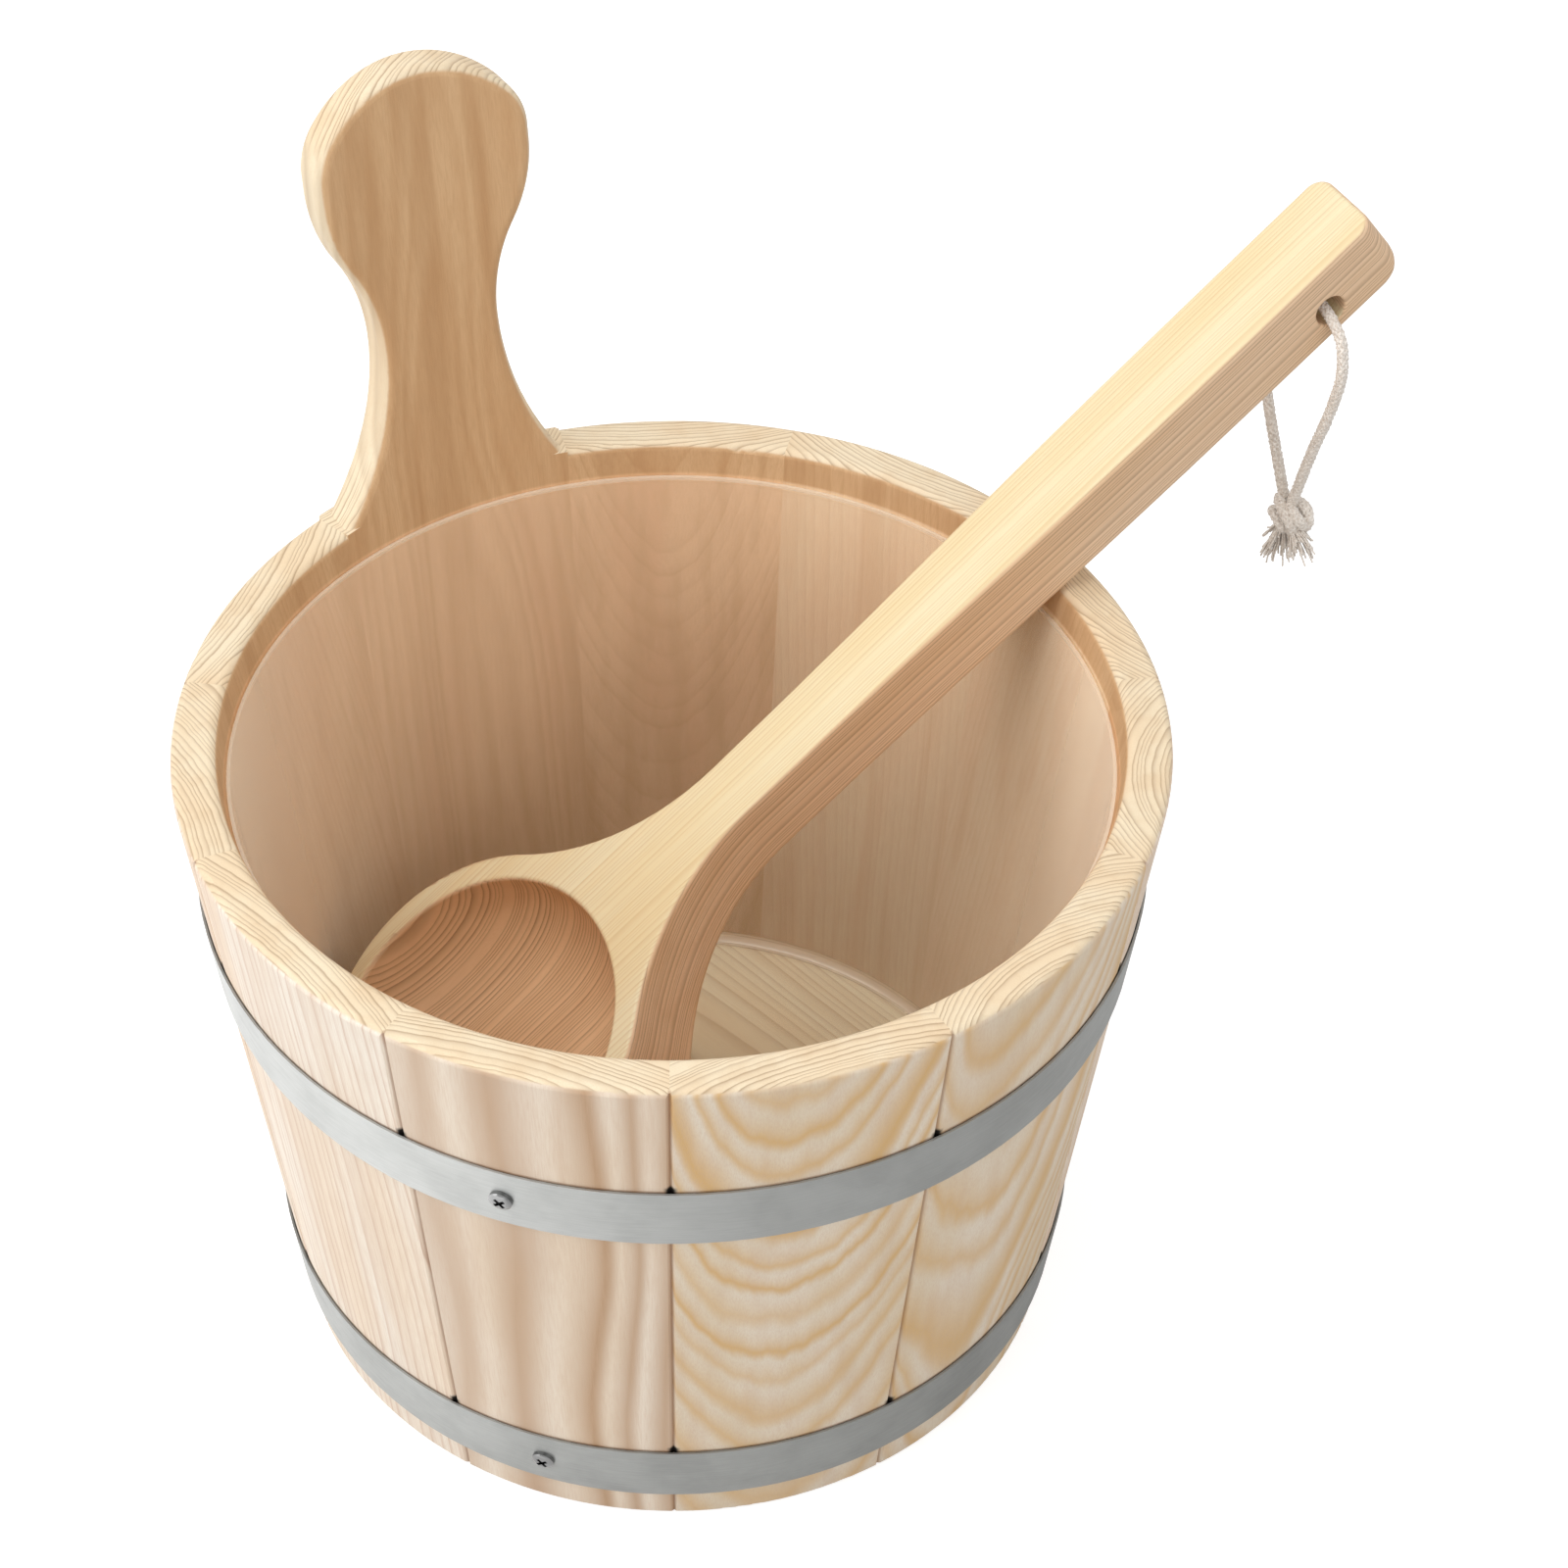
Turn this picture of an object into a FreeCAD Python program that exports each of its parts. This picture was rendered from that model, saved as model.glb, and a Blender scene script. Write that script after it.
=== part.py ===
import FreeCAD, Part
import math
import os

import Sketcher
from FreeCAD import Placement, Rotation, Vector

# A coopered pail with one long handle stave, its plastic liner and its wooden ladle.
# Millimetres and degrees. The origin is on the pail's axis at the floor, the front is -Y.

SIZES = {
    # Pail: one wall section turned round the axis
    "pailHeight": 185.4,
    "rimRadius": 125.0,
    "baseRadius": 103.6,
    "wallThickness": 11.6,
    "rimOuterRound": 2.0,
    "rimInnerRound": 2.5,
    "baseRound": 1.0,
    "seamBevel": 0.9,
    "crozeFoot": 9.4,
    "crozeTop": 15.4,
    "crozeDepth": 3.5,
    # Bottom board, bevelled below and let into the croze
    "boardUnderside": 5.0,
    "boardFit": 0.12,
    "boardBevelRun": 5.0,
    "boardBevelClear": 0.6,
    # Long stave: neck, grip and rounded head, heights above the rim
    "gripAside": 2.9,
    "gripLedge": 0.4,
    "neckHalfWidth": 17.3,
    "neckHeight": 45.7,
    "nearFlareRadius": 64.0,
    "farFlareRadius": 88.0,
    "palmHalfWidth": 24.3,
    "palmHeight": 71.1,
    "waistRadius": 50.0,
    "shoulderHalfWidth": 30.3,
    "shoulderHeight": 93.4,
    "shoulderRadius": 44.0,
    "headCornerRadius": 17.0,
    "headCentreHeight": 85.0,
    "headRadius": 35.2,
    "gripRound": 3.0,
    "gripSpare": 4.0,
    # Two steel hoops and their pan-head screws
    "hoopWidth": 20.0,
    "hoopThickness": 0.6,
    "hoopGap": 0.3,
    "lowerHoopFoot": 10.5,
    "upperHoopFoot": 126.5,
    "screwHeadRadius": 3.0,
    "screwHeadRise": 1.7,
    "screwHeadEdge": 1.0,
    "screwFlatRadius": 1.65,
    "screwCrownRadius": 2.7,
    "screwShankRadius": 1.5,
    "screwShankLength": 9.0,
    "screwTipRadius": 0.45,
    "screwHoleRadius": 1.6,
    "recessReach": 1.7,
    "recessHalfWidth": 0.45,
    "recessDepth": 1.1,
    # Liner: a thin plastic cup
    "linerTop": 176.0,
    "linerFloor": 15.9,
    "linerLipRadius": 111.5,
    "linerFootRadius": 93.3,
    "linerWall": 0.9,
    "linerFootRound": 3.0,
    # Ladle, along its own axis: end of handle, neck, bowl
    "ladleThickness": 22.0,
    "ladleEnd": 118.5,
    "handleHalfWidth": 12.2,
    "handleCorner": 5.0,
    "handleToe": 8.0,
    "handleStraightEnd": 70.0,
    "ladleNeckHalfWidth": 9.8,
    "ladleFlareRadius": 75.0,
    "bowlCentre": 193.0,
    "bowlRadius": 51.5,
    "bowlThickness": 33.0,
    "bowlFallStart": 105.0,
    "bowlFallEnd": 200.0,
    "hollowCentre": 194.5,
    "hollowRadius": 45.0,
    "hollowDepth": 26.0,
    "hollowCorner": 24.0,
    "ladleTopRound": 1.4,
    "ladleFootRound": 2.5,
    "hangHoleAt": 96.3,
    "hangHoleRise": 8.3,
    "hangHoleRadius": 4.2,
    "hangHoleRound": 0.8,
    # Cotton cord
    "cordRadius": 1.55,
    "knotHalfWidth": 6.6,
    "knotHalfHeight": 5.4,
    "tailRadius": 2.4,
    "tailEndRadius": 4.8,
    # How far a cut runs past the wood
    "overrun": 10.0,
}

# Seams between the staves, degrees from the front towards +X.
SEAMS = [-0.5, 31.0, 66.0, 97.5, 131.0, 164.0, 194.0, 228.5, 262.0, 292.5, 327.5]
HANDLE_STAVE_SEAM = 194.0
SCREWED_STAVE_SEAM = 327.5
UPPER_SCREW_ANGLE = 340.0
LOWER_SCREW_ANGLE = 341.1
SCREW_TURN = 20

# The ladle leans out of the pail over the rim. Its own X is its width, Y runs to the handle's
# end and Z is up from its top face; its origin is where the handle passes over the rim.
LADLE_BEARING = 26.3
LADLE_RISE = 36.7
LADLE_ORIGIN = Vector(86.13, 54.27, 204.40)

# Cord route in the upright plane through the handle's hole: across the ladle, and up.
CORD_ROUTE = [
    (6.4, -67.0),
    (11.2, -47.5),
    (17.6, -28.5),
    (20.8, -13.0),
    (16.6, -2.2),
    (0.0, 0.6),
    (-16.6, -2.6),
    (-19.6, -13.5),
    (-15.0, -28.5),
    (-7.6, -47.0),
    (3.0, -66.5),
]
KNOT_AT = (6.0, -70.0)
# The frayed end below the knot: upper and lower middle, across the ladle, outward and up.
TAIL_TOP = Vector(5.4, 0.4, -73.0)
TAIL_END = Vector(3.8, 1.6, -87.0)

doc = FreeCAD.newDocument("piggin")
sheet = doc.addObject("Spreadsheet::Sheet", "Sizes")
for row, (alias, value) in enumerate(SIZES.items(), start=1):
    sheet.set(f"A{row}", alias)
    sheet.set(f"B{row}", str(value))
    sheet.setAlias(f"B{row}", alias)
doc.recompute()

LEAN = "(Sizes.rimRadius - Sizes.baseRadius) / Sizes.pailHeight"
SLOPE = f"atan({LEAN})"


def size(alias):
    return float(sheet.get(alias))


def outerAt(height):
    return f"Sizes.baseRadius + ({height}) * {LEAN}"


def innerAt(height):
    return f"Sizes.baseRadius - Sizes.wallThickness + ({height}) * {LEAN}"


def newBody(label):
    body = doc.addObject("PartDesign::Body", label)
    body.Label = label
    return body


def originPart(body, role):
    return next(feature for feature in body.Origin.OriginFeatures if feature.Role == role)


def newSketch(body, name, role):
    sketch = body.newObject("Sketcher::SketchObject", name)
    sketch.AttachmentSupport = [(originPart(body, role), "")]
    sketch.MapMode = "FlatFace"
    return sketch


def holdPoint(sketch, geometry, end, across, up):
    # Ties one point of the sketch to two expressions of the sheet.
    for kind, expression in (("DistanceX", across), ("DistanceY", up)):
        value = float(sketch.evalExpression(expression))
        index = sketch.addConstraint(Sketcher.Constraint(kind, -1, 1, geometry, end, value))
        sketch.setExpression(f"Constraints[{index}]", expression)


def arcBetween(start, finish, radius):
    # The short arc from start to finish; a positive radius turns left, a negative one right.
    chord = finish - start
    side = Vector(-chord.y, chord.x, 0).normalize()
    reach = math.sqrt(max(radius * radius - chord.Length**2 / 4, 0.0))
    bulge = (start + finish) * 0.5 - side * math.copysign(abs(radius) - reach, radius)
    return Part.Arc(start, bulge, finish)


def drawOutline(sketch, corners):
    # corners: (across, up) or (across, up, radius), each a text; a radius bends the next side.
    points, bends = [], []
    for across, up, *radius in corners:
        points.append(Vector(sketch.evalExpression(across), sketch.evalExpression(up), 0))
        bends.append(float(sketch.evalExpression(radius[0])) if radius else 0.0)
    count = len(corners)
    first = sketch.GeometryCount
    for index, bend in enumerate(bends):
        start, finish = points[index], points[(index + 1) % count]
        side = arcBetween(start, finish, bend) if bend else Part.LineSegment(start, finish)
        sketch.addGeometry(side, False)
    for index, (across, up, *radius) in enumerate(corners):
        # An arc that turns right is kept the other way round, from its finish to its start.
        opens = 2 if bends[index] < 0 else 1
        closes = 1 if bends[index - 1] < 0 else 2
        this, previous = first + index, first + (index - 1) % count
        sketch.addConstraint(Sketcher.Constraint("Coincident", previous, closes, this, opens))
        holdPoint(sketch, this, opens, across, up)
        if radius:
            place = sketch.addConstraint(Sketcher.Constraint("Radius", this, abs(bends[index])))
            sketch.setExpression(f"Constraints[{place}]", f"abs({radius[0]})")


def turn(body, sketch, degrees=360.0, kind="Revolution"):
    # A Revolution or Groove round the sketch's upright axis, half of it to each side.
    feature = body.newObject(f"PartDesign::{kind}", body.Label + kind)
    feature.Profile = sketch
    feature.ReferenceAxis = (sketch, ["V_Axis"])
    feature.Midplane = True
    feature.Angle = degrees
    return feature


def edgesWhere(feature, test):
    return [f"Edge{n}" for n, edge in enumerate(feature.Shape.Edges, start=1) if test(edge)]


def dress(body, kind, test, expression):
    # Fillet or Chamfer on every edge that passes the test.
    doc.recompute()
    base = body.Tip
    feature = body.newObject(f"PartDesign::{kind}", f"{body.Label}{kind}")
    feature.Base = (base, edgesWhere(base, test))
    feature.setExpression("Radius" if kind == "Fillet" else "Size", expression)
    return feature


def heights(edge):
    box = edge.BoundBox
    return box.ZMin, box.ZMax


def spread(edge):
    # Least and greatest distance of an edge's points from the pail's axis.
    reach = [math.hypot(p.x, p.y) for p in edge.discretize(9)]
    return min(reach), max(reach)


def near(value, target, slack=0.05):
    return abs(value - target) < slack


CROZE = f"{innerAt('Sizes.crozeFoot')} + Sizes.crozeDepth"


def wallSection(body, top):
    # Wall with the croze for the bottom board, in the plane of radius and height.
    sketch = newSketch(body, body.Label + "Section", "XZ_Plane")
    drawOutline(
        sketch,
        [
            ("Sizes.baseRadius", "0"),
            (outerAt(top), top),
            (innerAt(top), top),
            (innerAt("Sizes.crozeTop"), "Sizes.crozeTop"),
            (CROZE, "Sizes.crozeTop"),
            (CROZE, "Sizes.crozeFoot"),
            (innerAt("Sizes.crozeFoot"), "Sizes.crozeFoot"),
            ("Sizes.baseRadius - Sizes.wallThickness", "0"),
        ],
    )
    return sketch


def cornerWaste(sketch, radius, level, rounding, outer, top):
    # What is taken off one corner of the wall: outer or inner side, top or foot.
    sideways = 1 if outer else -1
    upwards = 1 if top else -1
    sharper = sideways * upwards
    reach = f"{rounding} * tan(45 deg + {sharper} * {SLOPE} / 2)"
    onSide = f"{radius} - {upwards} * {reach} * sin({SLOPE})"
    downSide = f"{level} - {upwards} * {reach} * cos({SLOPE})"
    onEnd = f"{radius} - {sideways} * {reach}"
    clearSide = f"{radius} + {sideways} * 2 * {rounding}"
    clearEnd = f"{level} + {upwards} * 2 * {rounding}"
    corners = [
        (onSide, downSide),
        (clearSide, downSide),
        (clearSide, clearEnd),
        (onEnd, clearEnd),
        (onEnd, level, f"{-sharper} * {rounding}"),
    ]
    drawOutline(sketch, corners)


def roundCorners(body, withRim):
    # The rounded corners of foot and rim, turned right round the wall.
    inner = "Sizes.rimRadius - Sizes.wallThickness"
    sketch = newSketch(body, body.Label + "Waste", "XZ_Plane")
    cornerWaste(sketch, "Sizes.baseRadius", "0", "Sizes.baseRound", True, False)
    if withRim:
        cornerWaste(sketch, "Sizes.rimRadius", "Sizes.pailHeight", "Sizes.rimOuterRound", True, True)
        cornerWaste(sketch, inner, "Sizes.pailHeight", "Sizes.rimInnerRound", False, True)
    turn(body, sketch, kind="Groove")


def wallSlope():
    return math.atan2(size("rimRadius") - size("baseRadius"), size("pailHeight"))


def isOuterSeam(edge):
    # The long outer corner of a stave's side, up to the rim.
    low, high = heights(edge)
    least, most = spread(edge)
    outer = size("baseRadius") + math.tan(wallSlope()) * low
    straight = near(edge.Length, math.hypot(high - low, most - least))
    return straight and high - low > 100 and near(least, outer)


def screwAxis(angle, height):
    # Outward direction square to the wall, and the point where it leaves the wood.
    slope = wallSlope()
    heading = math.radians(angle - 90)
    radius = size("baseRadius") + math.tan(slope) * height
    level = Vector(math.cos(heading), math.sin(heading), 0)
    up = Vector(0, 0, 1)
    return level * math.cos(slope) - up * math.sin(slope), level * radius + up * height


def boreForScrew(body, name, angle, height, turnedBy):
    # A cylinder taken out round the screw's axis; turnedBy is the body's own angle.
    out, leaves = screwAxis(angle - turnedBy, height)
    depth = size("screwShankLength") + size("screwHoleRadius")
    bore = body.newObject("PartDesign::SubtractiveCylinder", name)
    bore.setExpression("Radius", "Sizes.screwHoleRadius")
    bore.Height = depth + 2 * size("screwHoleRadius")
    bore.Placement = Placement(leaves - out * depth, Rotation(Vector(0, 0, 1), out))


def hoopMiddle(foot):
    return size(foot) + size("hoopWidth") / 2


SCREWS = {
    "upper": (UPPER_SCREW_ANGLE, "upperHoopFoot"),
    "lower": (LOWER_SCREW_ANGLE, "lowerHoopFoot"),
}


def makeStave(label, seam, width, screws):
    body = newBody(label)
    turn(body, wallSection(body, "Sizes.pailHeight"), width)
    dress(body, "Chamfer", isOuterSeam, "Sizes.seamBevel")
    roundCorners(body, True)
    middle = seam + width / 2
    for place in screws:
        angle, foot = SCREWS[place]
        boreForScrew(body, f"{place}PilotHole", angle, hoopMiddle(foot), middle - 90)
    body.Placement = Placement(Vector(0, 0, 0), Rotation(Vector(0, 0, 1), middle - 90))
    return body


def makeHandleStave(label, seam, width):
    # A stave that runs on above the rim, cut to the outline of the grip.
    body = newBody(label)
    tall = "Sizes.pailHeight + Sizes.headCentreHeight + Sizes.headRadius + Sizes.gripSpare"
    turned = turn(body, wallSection(body, tall), width)
    doc.recompute()
    full = turned.Shape.Volume
    edge = math.radians(width / 2)
    side = f"(Sizes.rimRadius - Sizes.wallThickness) * {math.sin(edge):.6f} - Sizes.gripLedge"
    centre = "-1 * Sizes.gripAside"

    def up(alias):
        return f"Sizes.pailHeight + Sizes.{alias}"

    def across(sign, alias):
        return f"{centre} + {sign} * Sizes.{alias}"

    # Head: the corner arcs touch the sides and the top arc from inside.
    headGap = "(Sizes.headRadius - Sizes.headCornerRadius)"
    cornerAcross = "(Sizes.shoulderHalfWidth - Sizes.headCornerRadius)"
    cornerRise = f"sqrt({headGap} ^ 2 - {cornerAcross} ^ 2)"
    touchAcross = f"{cornerAcross} * Sizes.headRadius / {headGap}"
    touchUp = f"Sizes.pailHeight + Sizes.headCentreHeight + {cornerRise} * Sizes.headRadius / {headGap}"
    sideUp = f"Sizes.pailHeight + Sizes.headCentreHeight + {cornerRise}"
    outline = newSketch(body, "gripOutline", "YZ_Plane")
    clear = "Sizes.rimRadius"
    above = "Sizes.pailHeight + Sizes.headCentreHeight + 2 * Sizes.headRadius"
    farFoot = f"-1 * ({side})"
    drawOutline(
        outline,
        [
            (side, "Sizes.pailHeight", "-1 * Sizes.nearFlareRadius"),
            (across(1, "neckHalfWidth"), up("neckHeight"), "-1 * Sizes.waistRadius"),
            (across(1, "palmHalfWidth"), up("palmHeight"), "Sizes.shoulderRadius"),
            (across(1, "shoulderHalfWidth"), up("shoulderHeight")),
            (across(1, "shoulderHalfWidth"), sideUp, "Sizes.headCornerRadius"),
            (f"{centre} + {touchAcross}", touchUp, "Sizes.headRadius"),
            (f"{centre} - {touchAcross}", touchUp, "Sizes.headCornerRadius"),
            (across(-1, "shoulderHalfWidth"), sideUp),
            (across(-1, "shoulderHalfWidth"), up("shoulderHeight"), "Sizes.shoulderRadius"),
            (across(-1, "palmHalfWidth"), up("palmHeight"), "-1 * Sizes.waistRadius"),
            (across(-1, "neckHalfWidth"), up("neckHeight"), "-1 * Sizes.farFlareRadius"),
            (farFoot, "Sizes.pailHeight"),
            (f"-1 * {clear}", "Sizes.pailHeight"),
            (f"-1 * {clear}", above),
            (clear, above),
            (clear, "Sizes.pailHeight"),
        ],
    )
    cut = body.newObject("PartDesign::Pocket", "gripCut")
    cut.Profile = outline
    cut.Type = "ThroughAll"
    cut.Midplane = True
    doc.recompute()
    print(label, "volume before and after the outline", round(full), round(cut.Shape.Volume))
    top = size("pailHeight")
    dress(body, "Chamfer", isOuterSeam, "Sizes.seamBevel")
    doc.recompute()

    def isGripEdge(edge):
        # Along the outline above the rim, on either face, but not across the wall's thickness.
        low, high = heights(edge)
        least, most = spread(edge)
        isAcross = near(edge.Length, size("wallThickness"), 0.8)
        isAlong = most - least < 0.5 * (high - low) + 2
        return low > top - 1 and high > top + 1 and isAlong and not isAcross

    dress(body, "Fillet", isGripEdge, "Sizes.gripRound")
    roundCorners(body, False)
    middle = seam + width / 2
    body.Placement = Placement(Vector(0, 0, 0), Rotation(Vector(0, 0, 1), middle - 90))
    return body


def makeBottomBoard():
    # A round board, thinned from below to a tongue that sits in the croze.
    body = newBody("bottom_board")
    sketch = newSketch(body, "boardSection", "XZ_Plane")
    tongueEnd = f"{CROZE} - Sizes.boardFit"
    tongueStart = f"{innerAt('Sizes.boardUnderside')} - Sizes.boardFit - Sizes.boardBevelClear"
    drawOutline(
        sketch,
        [
            ("0", "Sizes.boardUnderside"),
            (f"{tongueStart} - Sizes.boardBevelRun", "Sizes.boardUnderside"),
            (tongueStart, "Sizes.crozeFoot"),
            (tongueEnd, "Sizes.crozeFoot"),
            (tongueEnd, "Sizes.crozeTop - Sizes.boardFit"),
            ("0", "Sizes.crozeTop - Sizes.boardFit"),
        ],
    )
    turn(body, sketch)
    return body


def makeHoop(label, foot, screw):
    # A flat steel band that follows the wall, a hair off the wood, with one screw hole.
    body = newBody(label)
    sketch = newSketch(body, label + "Section", "XZ_Plane")
    gap = f"Sizes.hoopGap / cos({SLOPE})"
    skin = f"(Sizes.hoopGap + Sizes.hoopThickness) / cos({SLOPE})"
    head = f"Sizes.{foot} + Sizes.hoopWidth"
    drawOutline(
        sketch,
        [
            (f"{outerAt('Sizes.' + foot)} + {gap}", f"Sizes.{foot}"),
            (f"{outerAt('Sizes.' + foot)} + {skin}", f"Sizes.{foot}"),
            (f"{outerAt(head)} + {skin}", head),
            (f"{outerAt(head)} + {gap}", head),
        ],
    )
    turn(body, sketch)
    boreForScrew(body, label + "Hole", SCREWS[screw][0], hoopMiddle(foot), 0)
    return body


def makeScrew(label, screw):
    # Pan head with a cross recess, and a shank that passes the hoop into the stave.
    body = newBody(label)
    sketch = newSketch(body, label + "Section", "XZ_Plane")
    drawOutline(
        sketch,
        [
            ("0", "-1 * Sizes.screwShankLength"),
            ("Sizes.screwTipRadius", "-1 * Sizes.screwShankLength"),
            ("Sizes.screwShankRadius", "2 * Sizes.screwShankRadius - Sizes.screwShankLength"),
            ("Sizes.screwShankRadius", "0"),
            ("Sizes.screwHeadRadius", "0"),
            ("Sizes.screwHeadRadius", "Sizes.screwHeadEdge", "Sizes.screwCrownRadius"),
            ("Sizes.screwFlatRadius", "Sizes.screwHeadRise"),
            ("0", "Sizes.screwHeadRise"),
        ],
    )
    turn(body, sketch)
    cross = newSketch(body, label + "Cross", "XY_Plane")
    cross.AttachmentOffset = Placement(Vector(0, 0, size("screwHeadRise")), Rotation())
    thin, far = "Sizes.recessHalfWidth", "Sizes.recessReach"
    quarter = [(far, f"-1 * {thin}"), (far, thin), (thin, thin)]
    corners = []
    for _ in range(4):
        corners += quarter
        quarter = [(f"-1 * ({up})", across) for across, up in quarter]
    drawOutline(cross, corners)
    recess = body.newObject("PartDesign::Pocket", label + "Recess")
    recess.Profile = cross
    recess.setExpression("Length", "Sizes.recessDepth")
    angle, foot = SCREWS[screw]
    out, leaves = screwAxis(angle, hoopMiddle(foot))
    seat = leaves + out * (size("hoopGap") + size("hoopThickness"))
    turned = Rotation(Vector(0, 0, 1), out) * Rotation(Vector(0, 0, 1), SCREW_TURN)
    body.Placement = Placement(seat, turned)
    return body


def makeLiner():
    # A thin cup that lines the pail, a little narrower than the wood all the way up.
    body = newBody("liner")
    sketch = newSketch(body, "linerSection", "XZ_Plane")
    drawOutline(
        sketch,
        [
            ("0", "Sizes.linerFloor"),
            ("Sizes.linerFootRadius", "Sizes.linerFloor"),
            ("Sizes.linerLipRadius", "Sizes.linerTop"),
            ("Sizes.linerLipRadius - Sizes.linerWall", "Sizes.linerTop"),
            ("Sizes.linerFootRadius - Sizes.linerWall", "Sizes.linerFloor + Sizes.linerWall"),
            ("0", "Sizes.linerFloor + Sizes.linerWall"),
        ],
    )
    turn(body, sketch)
    floor = size("linerFloor")
    wall = size("linerWall")

    def isFoot(edge, lift):
        low, high = heights(edge)
        return near(low, floor + lift) and near(high, floor + lift) and spread(edge)[0] > 50

    dress(body, "Fillet", lambda e: isFoot(e, 0), "Sizes.linerFootRound")
    dress(body, "Fillet", lambda e: isFoot(e, wall), "Sizes.linerFootRound - Sizes.linerWall")
    return body


def ladlePlacement():
    # Turns the ladle's own axes to its lean over the rim.
    bearing, rise = math.radians(LADLE_BEARING), math.radians(LADLE_RISE)
    along = Vector(math.cos(bearing) * math.cos(rise), math.sin(bearing) * math.cos(rise), math.sin(rise))
    across = Vector(math.sin(bearing), -math.cos(bearing), 0)
    return Placement(LADLE_ORIGIN, Rotation(across, along, across.cross(along), "XYZ"))


def makeLadle():
    body = newBody("ladle")
    # Plan, half by half: two large arcs narrow the handle to the neck, then the flare, then
    # the bowl.
    fall = "(Sizes.handleHalfWidth - Sizes.ladleNeckHalfWidth)"
    flareAcross = "(Sizes.ladleNeckHalfWidth + Sizes.ladleFlareRadius)"
    bothRadii = "(Sizes.ladleFlareRadius + Sizes.bowlRadius)"
    flareUp = f"sqrt({bothRadii} ^ 2 - {flareAcross} ^ 2)"
    neckAt = f"({flareUp} - Sizes.bowlCentre)"
    run = f"(Sizes.handleStraightEnd - {neckAt})"
    taperRadius = f"({run} ^ 2 + {fall} ^ 2) / (4 * {fall})"
    taperAcross = "(Sizes.handleHalfWidth + Sizes.ladleNeckHalfWidth) / 2"
    taperAt = f"(Sizes.handleStraightEnd + {neckAt}) / 2"
    joinAcross = f"{flareAcross} * Sizes.bowlRadius / {bothRadii}"
    joinAt = f"{flareUp} * Sizes.bowlRadius / {bothRadii} - Sizes.bowlCentre"
    plan = newSketch(body, "ladlePlan", "XY_Plane")
    endAcross = "Sizes.handleHalfWidth - Sizes.handleCorner"
    endAt = "Sizes.ladleEnd - Sizes.handleCorner"
    right = [
        ("Sizes.handleHalfWidth", endAt),
        ("Sizes.handleHalfWidth", "Sizes.handleStraightEnd"),
        (taperAcross, taperAt),
        ("Sizes.ladleNeckHalfWidth", neckAt),
        (joinAcross, joinAt),
    ]
    left = [(f"-1 * ({across})", up) for across, up in reversed(right)]
    taper = f"-1 * {taperRadius}"
    bowl = "-1 * Sizes.bowlRadius"
    rightBends = [(), (taper,), (taperRadius,), ("Sizes.ladleFlareRadius",), (bowl,)]
    leftBends = [("Sizes.ladleFlareRadius",), (taperRadius,), (taper,), (), ("-1 * Sizes.handleCorner",)]
    drawOutline(
        plan,
        [
            (f"-1 * ({endAcross})", "Sizes.ladleEnd"),
            (endAcross, "Sizes.ladleEnd", "-1 * Sizes.handleCorner"),
            *[corner + bend for corner, bend in zip(right, rightBends)],
            ("0", "-1 * Sizes.bowlCentre - Sizes.bowlRadius", bowl),
            *[corner + bend for corner, bend in zip(left, leftBends)],
        ],
    )
    block = body.newObject("PartDesign::Pad", "ladleBlock")
    block.Profile = plan
    block.setExpression("Length", "Sizes.bowlThickness")
    block.Reversed = True

    # Side view: the handle is thinner than the bowl, and its end's underside is rounded.
    side = newSketch(body, "ladleUnderside", "YZ_Plane")
    drop = "(Sizes.bowlThickness - Sizes.ladleThickness)"
    fallRun = "(Sizes.bowlFallEnd - Sizes.bowlFallStart)"
    fallRadius = f"({fallRun} ^ 2 + {drop} ^ 2) / (4 * {drop})"
    underside = "-1 * Sizes.ladleThickness"
    below = "-1 * Sizes.bowlThickness - Sizes.overrun"
    beyond = "Sizes.ladleEnd + Sizes.overrun"
    drawOutline(
        side,
        [
            (beyond, f"{underside} + Sizes.handleToe"),
            ("Sizes.ladleEnd", f"{underside} + Sizes.handleToe", "-1 * Sizes.handleToe"),
            ("Sizes.ladleEnd - Sizes.handleToe", underside),
            ("-1 * Sizes.bowlFallStart", underside, fallRadius),
            (
                "-1 * (Sizes.bowlFallStart + Sizes.bowlFallEnd) / 2",
                f"{underside} - {drop} / 2",
                f"-1 * {fallRadius}",
            ),
            ("-1 * Sizes.bowlFallEnd", "-1 * Sizes.bowlThickness"),
            ("-1 * Sizes.bowlFallEnd", below),
            (beyond, below),
        ],
    )
    under = body.newObject("PartDesign::Pocket", "ladleUnder")
    under.Profile = side
    under.Type = "ThroughAll"
    under.Midplane = True

    # Bowl: a round hollow with a flat floor and a wide corner.
    hollow = newSketch(body, "bowlSection", "YZ_Plane")
    hollow.AttachmentOffset = Placement(Vector(-size("hollowCentre"), 0, 0), Rotation())
    drawOutline(
        hollow,
        [
            ("0", "-1 * Sizes.hollowDepth"),
            ("Sizes.hollowRadius - Sizes.hollowCorner", "-1 * Sizes.hollowDepth", "Sizes.hollowCorner"),
            ("Sizes.hollowRadius", "Sizes.hollowCorner - Sizes.hollowDepth"),
            ("Sizes.hollowRadius", "Sizes.overrun"),
            ("0", "Sizes.overrun"),
        ],
    )
    turn(body, hollow, kind="Groove")

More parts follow.
